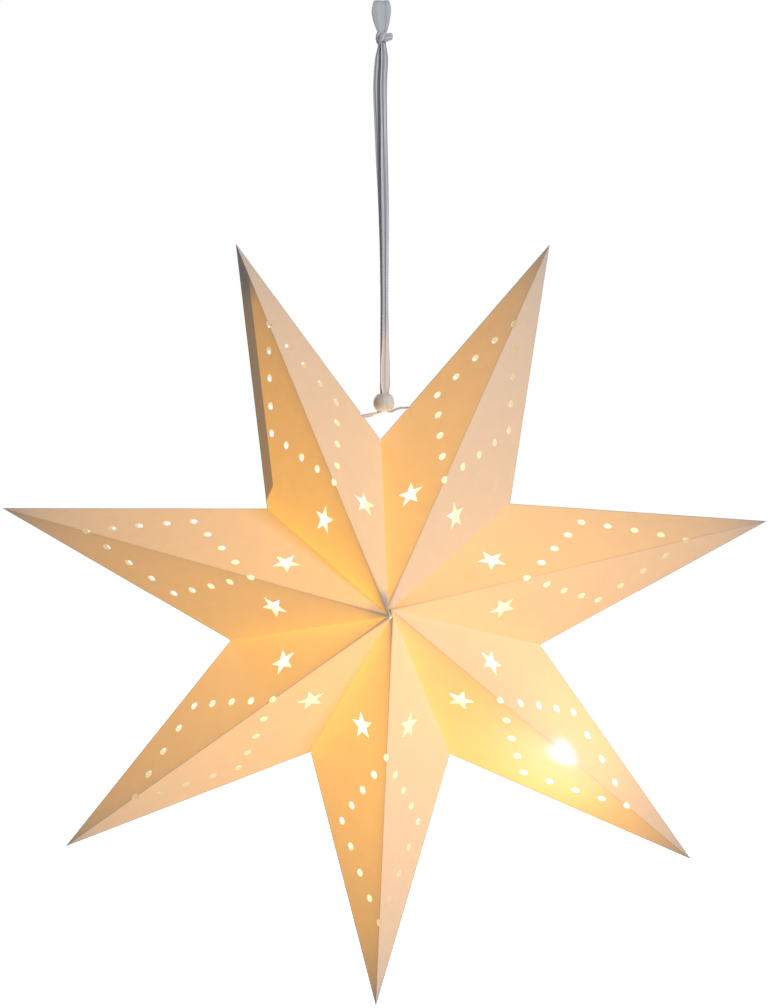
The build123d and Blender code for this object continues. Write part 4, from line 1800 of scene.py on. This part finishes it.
    def main_knot(self, satin: bpy.types.Material) -> bpy.types.Object:
        """The knot under the loop: a wrap round the neck, a left bulge and the tail's stub.

        Args:
            satin: the ribbon's material.

        Returns:
            The piece.
        """
        angle = np.linspace(0, 2 * math.pi, 49)
        ring = np.stack(
            [2.5 * np.cos(angle) + 0.3, 1.9 * np.sin(angle), -27.8 + 1.5 * np.cos(angle + 0.5)], 1
        )
        share = np.linspace(0, 1, 40)
        tail = np.stack(
            [0.8 + 7.6 * share, -1.7 + 1.6 * share, -28.6 + 4.6 * share ** 1.3 - 1.9 * share ** 3], 1
        )
        bulge = np.stack([-1.9 - 1.1 * np.sin(math.pi * share), -0.9 + 1.4 * share, -22.8 - 9.4 * share], 1)
        blunt, rounded = rounded_ends(share, 6), rounded_ends(share, 4)
        parts = [
            self.pleated_tube(ring * MM, 1.35 + 0.15 * np.sin(2 * angle), 2.9 + 0 * angle, 6),
            self.pleated_tube(tail * MM, 1.7 * blunt + 0.02, 2.75 * blunt + 0.02, 5),
            self.pleated_tube(bulge * MM, 1.5 * rounded + 0.02, 1.5 * rounded + 0.02, 5),
        ]
        grids, uvs, troughs = zip(*parts)
        return surface_piece("ribbon_knot_tied", list(grids), satin, True, list(uvs), trough=list(troughs))

    @staticmethod
    def pleated_tube(
        line: np.ndarray, thick: np.ndarray, tall: np.ndarray, pleats: int
    ) -> tuple[np.ndarray, np.ndarray, np.ndarray]:
        """An oval tube of gathered ribbon: its radius is 1 plus a tenth of a cosine of pleats.

        Args:
            line: the middle line, as rows in metres.
            thick: half thickness at each row, in mm.
            tall: half height at each row, in mm.
            pleats: the number of pleats round it.

        Returns:
            The grid, its UV and the depth of its troughs, which the satin darkens as painted shade.
        """
        tangent = unit(np.gradient(line, axis=0))
        height = unit(np.array([0.05, 0.1, 1.0]) - tangent * (tangent @ np.array([0.05, 0.1, 1.0]))[:, None])
        depth = np.cross(tangent, height)
        angle = np.linspace(0, 2 * math.pi, 36, endpoint=False)[None, :]
        along = np.cumsum(np.linalg.norm(np.gradient(line, axis=0), axis=1))[:, None]
        ripple = np.cos(pleats * angle + along / MM * 0.35)
        radius = 1 + 0.085 * ripple
        a = thick[:, None] * radius * np.cos(angle) * MM
        b = tall[:, None] * radius * np.sin(angle) * MM
        grid = line[:, None] + a[..., None] * depth[:, None] + b[..., None] * height[:, None]
        uv = np.stack(np.broadcast_arrays(along, angle * 1.5 * MM), axis=-1)
        return grid, uv, np.clip(0.5 - 0.5 * ripple, 0, 1)

    def stop_knot(self, satin: bpy.types.Material, side: Side) -> None:
        """The knot inside an end point: a tight ring of gathered ribbon with a short end.

        Args:
            satin: the ribbon's material.
            side: the side of the seam.
        """
        name = f"ribbon_{side.name.lower()}_stop_knot"
        low, high = (np.array(corner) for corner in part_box(name))
        centre = (low + high) / 2
        out = unit(centre - np.array([0.0, 0.0, centre[2]]))
        angle = np.linspace(0, 2 * math.pi, 37)
        lift = np.array([0.0, 0.0, 1.0])
        front = np.array([0.0, 1.0, 0.0])
        ring = centre + 1.35 * MM * (np.cos(angle)[:, None] * lift + np.sin(angle)[:, None] * front)
        share = np.linspace(0, 1, 14)
        fade = rounded_ends(share, 4) + 0.02
        tail = centre + (share[:, None] * 4.4 - 1.6) * MM * out
        parts = [
            self.pleated_tube(ring, 1.25 + 0 * angle, 1.45 + 0 * angle, 5),
            self.pleated_tube(tail, 1.2 * fade, 1.2 * fade, 5),
        ]
        grids, uvs, troughs = zip(*parts)
        piece = surface_piece(name + "_tied", list(grids), satin, True, list(uvs), trough=list(troughs))
        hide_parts(name)
        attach(piece, Body.STAR.value)
        LOG.info("%s tied", piece.name)


@dataclass
class Bead:
    """The turned wooden bead."""

    finish: WoodFinish
    height: float = -301.5 * MM
    radius: float = 8.0 * MM
    bore: float = 4.0 * MM
    lip: float = 0.8 * MM

    def dress(self) -> None:
        """Builds the bead as a revolved profile: a ball's arc, rounded lips and the bore."""
        half = math.sqrt(self.radius ** 2 - self.bore ** 2)
        edge = math.asin((half - 0.7 * self.lip) / self.radius)
        arc = np.linspace(-edge, edge, 41)
        outer = np.stack([self.radius * np.cos(arc), self.radius * np.sin(arc)], 1)
        bore = np.linspace(half - 1.1 * self.lip, -half + 1.1 * self.lip, 9)
        inner = np.stack([np.full(9, self.bore), bore], 1)
        share = np.linspace(0, 1, 8)[1:-1, None]
        lip_top = self.rounded(outer[-1], np.array([self.bore + 0.2 * self.lip, half]), inner[0], share)
        lip_low = self.rounded(inner[-1], np.array([self.bore + 0.2 * self.lip, -half]), outer[0], share)
        profile = np.concatenate([outer, lip_top, inner, lip_low, outer[:1]])
        angle = np.linspace(0, 2 * math.pi, 72, endpoint=False)[None, :]
        around = np.stack([np.cos(angle), np.sin(angle)], -1)
        grid = np.concatenate(
            [
                profile[:, None, :1] * around,
                np.broadcast_to(profile[:, None, 1:] + self.height, (len(profile), 72, 1)),
            ],
            axis=-1,
        )
        piece = surface_piece("bead_turned", [grid], self.finish.make(), closed=True)
        weld(piece)
        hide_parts("bead")
        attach(piece, Body.BEAD.value)
        LOG.info("%s made", piece.name)

    @staticmethod
    def rounded(start: np.ndarray, corner: np.ndarray, stop: np.ndarray, share: np.ndarray) -> np.ndarray:
        """A corner rounded as a curve of second degree between its two ends."""
        return (1 - share) ** 2 * start + 2 * share * (1 - share) * corner + share ** 2 * stop


def weld(piece: bpy.types.Object) -> None:
    """Merges doubled vertices and turns every face outwards.

    Args:
        piece: the piece.
    """
    work = bmesh.new()
    work.from_mesh(piece.data)
    bmesh.ops.remove_doubles(work, verts=work.verts, dist=0.001 * MM)
    bmesh.ops.recalc_face_normals(work, faces=work.faces)
    work.to_mesh(piece.data)
    work.free()


@dataclass
class BatteryLamp:
    """The finishes of the lamp's own nodes, whose shapes stay as they are."""

    def dress(self) -> None:
        """Gives every node of the lamp its material."""
        white = PlainFinish("lamp_white", (0.80, 0.79, 0.76), (0.70, 0.69, 0.65), 0.42)
        black = PlainFinish("moulded_black", (0.030, 0.030, 0.033), (0.055, 0.055, 0.06), 0.5)
        nickel = PlainFinish(
            "nickel", (0.62, 0.59, 0.50), (0.48, 0.45, 0.38), 0.3, 1.0, 2500.0, 0.008 * MM
        )
        sleeve = PlainFinish(
            "cell_sleeve", (0.30, 0.36, 0.35), (0.22, 0.27, 0.27), 0.34, 0.55, 1400.0, 0.01 * MM
        )
        finishes = {
            "lamp_globe": PlainFinish(
                "globe_frosted", (0.86, 0.84, 0.80), (0.80, 0.78, 0.73), 0.6,
                grain_per_metre=3000.0, glow=(1.0, 0.80, 0.50), glow_strength=5.0,
            ),
            "light_pipe": PlainFinish(
                "pipe_frosted", (0.90, 0.88, 0.84), (0.84, 0.82, 0.76), 0.5,
                grain_per_metre=3000.0, glow=(1.0, 0.84, 0.58), glow_strength=8.0,
            ),
            "led_emitters": PlainFinish(
                "phosphor", (0.85, 0.72, 0.22), (0.78, 0.62, 0.16), 0.45,
                grain_per_metre=2500.0, grain_depth=0.01 * MM, glow=(1.0, 0.86, 0.60), glow_strength=12.0,
            ),
            "led_board": PlainFinish(
                "board_lacquer", (0.76, 0.78, 0.74), (0.66, 0.69, 0.64), 0.35, grain_per_metre=900.0
            ),
            "board_screws": PlainFinish(
                "screw_steel", (0.56, 0.56, 0.57), (0.42, 0.42, 0.43), 0.32, 1.0, 3000.0, 0.01 * MM
            ),
            "lamp_housing": white,
            "battery_cap": white,
            "battery_cage": black,
            **{f"battery_cell_{number}": sleeve for number in (1, 2, 3)},
            "contact_plates": nickel,
            "contact_springs": nickel,
            "lead_red": PlainFinish("lead_red_sleeve", (0.42, 0.012, 0.008), (0.32, 0.01, 0.008), 0.45),
            "lead_black": PlainFinish("lead_black_sleeve", (0.02, 0.02, 0.02), (0.04, 0.04, 0.04), 0.45),
            "switch_body": black,
            "switch_knob": PlainFinish("knob_black", (0.025, 0.025, 0.027), (0.07, 0.07, 0.075), 0.4),
        }
        made: dict[str, bpy.types.Material] = {}
        for node, finish in finishes.items():
            if finish.name not in made:
                made[finish.name] = finish.make()
            mesh = frame["nodes"][node].data
            mesh.materials.clear()
            mesh.materials.append(made[finish.name])
            LOG.info("%s finished in %s", node, finish.name)


@dataclass
class Studio:
    """Camera, lights, surroundings and floor."""

    form: StarForm
    distance: float = 1.926
    azimuth: float = 1.93
    elevation: float = 1.75
    roll: float = 0.342
    focal_pixels: float = 2540.0
    picture: tuple = (768.0, 1008.0)
    centre_pixel: tuple = (385.1, 610.8)
    key_level: float = 0.84
    rear_level: float = 0.45
    ambient: float = 0.13
    seam_power: float = 0.035
    seam_colour: tuple = (1.0, 0.90, 0.70)
    seam_cone: float = 48.0
    seam_way: tuple = (0.05, 0.0, 1.0)
    floor_height: float = -1.15
    floor_half: float = 30.0

    def dress(self) -> None:
        """Sets up everything that isn't the lantern."""
        bpy.context.scene.view_settings.view_transform = "Standard"
        self.camera()
        self.sun("key_light", (0.627, -0.755, 0.19), self.key_level, 14.0)
        self.sun("rear_light", (-0.5, 0.75, 0.55), self.rear_level, 30.0)
        self.seam_light()
        self.surroundings()
        self.floor()
        LOG.info("studio set")

    def camera(self) -> None:
        """The camera, from the photograph's place: it looks along its azimuth and elevation."""
        azimuth, elevation, roll = (math.radians(a) for a in (self.azimuth, self.elevation, self.roll))
        look = Vector(
            (
                math.sin(azimuth) * math.cos(elevation),
                math.cos(azimuth) * math.cos(elevation),
                -math.sin(elevation),
            )
        )
        right = look.cross(Vector((0, 0, 1))).normalized()
        up = right.cross(look)
        rolled_right = right * math.cos(roll) - up * math.sin(roll)
        rolled_up = right * math.sin(roll) + up * math.cos(roll)
        data = bpy.data.cameras.new("camera")
        data.sensor_width = 36.0
        long_side = max(self.picture)
        data.lens = data.sensor_width * self.focal_pixels / long_side
        data.shift_x = (self.picture[0] / 2 - self.centre_pixel[0]) / long_side
        data.shift_y = (self.centre_pixel[1] - self.picture[1] / 2) / long_side
        data.clip_start, data.clip_end = 0.05, 50.0
        camera = bpy.data.objects.new("camera", data)
        bpy.context.collection.objects.link(camera)
        place = Vector(self.form.spot(0, 0)) - look * self.distance
        turn = Matrix((rolled_right, rolled_up, -look)).transposed().to_4x4()
        camera.matrix_world = Matrix.Translation(place) @ turn
        bpy.context.scene.camera = camera

    @staticmethod
    def lamp(name: str, kind: str, way: tuple, axis: str) -> bpy.types.Object:
        """A light turned so that one of its axes points along a direction.

        Args:
            name: the light's name.
            kind: Blender's kind of light.
            way: the direction.
            axis: the axis that points along it.

        Returns:
            The light's object.
        """
        lamp = bpy.data.objects.new(name, bpy.data.lights.new(name, kind))
        bpy.context.collection.objects.link(lamp)
        lamp.rotation_mode = "QUATERNION"
        lamp.rotation_quaternion = Vector(way).to_track_quat(axis, "Y")
        return lamp

    def sun(self, name: str, towards: tuple, level: float, softness: float) -> None:
        """A broad even light from one direction.

        Args:
            name: the light's name.
            towards: the direction from the lantern to the light.
            level: its level: at 1, white card that faces it renders white.
            softness: its apparent width in degrees.
        """
        sun = self.lamp(name, "SUN", towards, "Z")
        sun.data.energy = math.pi * level
        sun.data.angle = math.radians(softness)

    def seam_light(self) -> None:
        """The light that leaves the open seam upwards and meets the bead."""
        form = self.form
        spot = self.lamp("seam_light", "SPOT", self.seam_way, "-Z")
        spot.data.energy = self.seam_power
        spot.data.color = self.seam_colour
        spot.data.shadow_soft_size = 2 * MM
        spot.data.spot_size = math.radians(self.seam_cone)
        spot.data.spot_blend = 0.5
        spot.location = form.spot(form.seam_valley_radius + 1 * MM, form.seam_azimuth)

    @staticmethod
    def seen_directly(tree: bpy.types.NodeTree) -> bpy.types.NodeSocket:
        """1 for rays from the camera, from gloss and through glass, and 0 for light.

        Args:
            tree: the node tree that asks.

        Returns:
            The number as a socket.
        """
        rays = tree.nodes.new("ShaderNodeLightPath")
        seen = rays.outputs["Is Camera Ray"]
        for name in ("Is Glossy Ray", "Is Transmission Ray"):
            most = tree.nodes.new("ShaderNodeMath")
            most.operation = "MAXIMUM"
            tree.links.new(seen, most.inputs[0])
            tree.links.new(rays.outputs[name], most.inputs[1])
            seen = most.outputs[0]
        return seen

    def surroundings(self) -> None:
        """White where it is seen, and a low even light elsewhere."""
        world = bpy.data.worlds.new("surroundings")
        world.use_nodes = True
        tree = world.node_tree
        tree.nodes.clear()
        seen, dim = (tree.nodes.new("ShaderNodeBackground") for _ in range(2))
        seen.inputs["Color"].default_value = (1.0, 1.0, 1.0, 1.0)
        dim.inputs["Color"].default_value = (0.97, 0.98, 1.0, 1.0)
        dim.inputs["Strength"].default_value = self.ambient
        mix = tree.nodes.new("ShaderNodeMixShader")
        output = tree.nodes.new("ShaderNodeOutputWorld")
        tree.links.new(self.seen_directly(tree), mix.inputs[0])
        tree.links.new(dim.outputs[0], mix.inputs[1])
        tree.links.new(seen.outputs[0], mix.inputs[2])
        tree.links.new(mix.outputs[0], output.inputs[0])
        bpy.context.scene.world = world

    def floor(self) -> None:
        """A plain pale floor that reads white and keeps the lantern's shadow."""
        half = self.floor_half
        square = ((-half, -half), (half, -half), (half, half), (-half, half))
        mesh = bpy.data.meshes.new("floor")
        mesh.from_pydata([(x, y, self.floor_height) for x, y in square], [], [(0, 1, 2, 3)])
        graph = Graph("floor_pale")
        tree = graph.material.node_tree
        grain = graph.noise(graph.place(), 3.0, 2.0, 0.5)
        graph.give(
            Base_Color=graph.blend(grain, (0.80, 0.80, 0.80), (0.83, 0.83, 0.83)),
            Roughness=0.9,
            Specular_IOR_Level=0.0,
            Emission_Color=graph.scaled((1.0, 1.0, 1.0), self.seen_directly(tree)),
            Emission_Strength=0.9,
        )
        mesh.materials.append(graph.material)
        floor = bpy.data.objects.new("floor", mesh)
        bpy.context.collection.objects.link(floor)


def lamp_light(form: StarForm) -> LampLight:
    """The lamp's light, with its globe where the frame has it: its box is the ball and its neck.

    Args:
        form: the star's form.

    Returns:
        The light.
    """
    low, high = (np.array(corner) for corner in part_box("lamp_globe"))
    radius = (high[1] - low[1]) / 2
    globe = np.array([high[0] - radius, 0.0, low[2] + radius])
    return LampLight(globe, form.spot(0, 0))


def main() -> None:
    """Builds the lantern's looks in order."""
    logging.basicConfig(level=logging.INFO, format="%(name)s: %(message)s")
    form = StarForm()
    Studio(form).dress()
    Ribbon(SatinFinish()).dress()
    PaperPoints(form, lamp_light(form), PaperFinish()).dress()
    Bead(WoodFinish()).dress()
    BatteryLamp().dress()


if __name__ == "__main__":
    main()
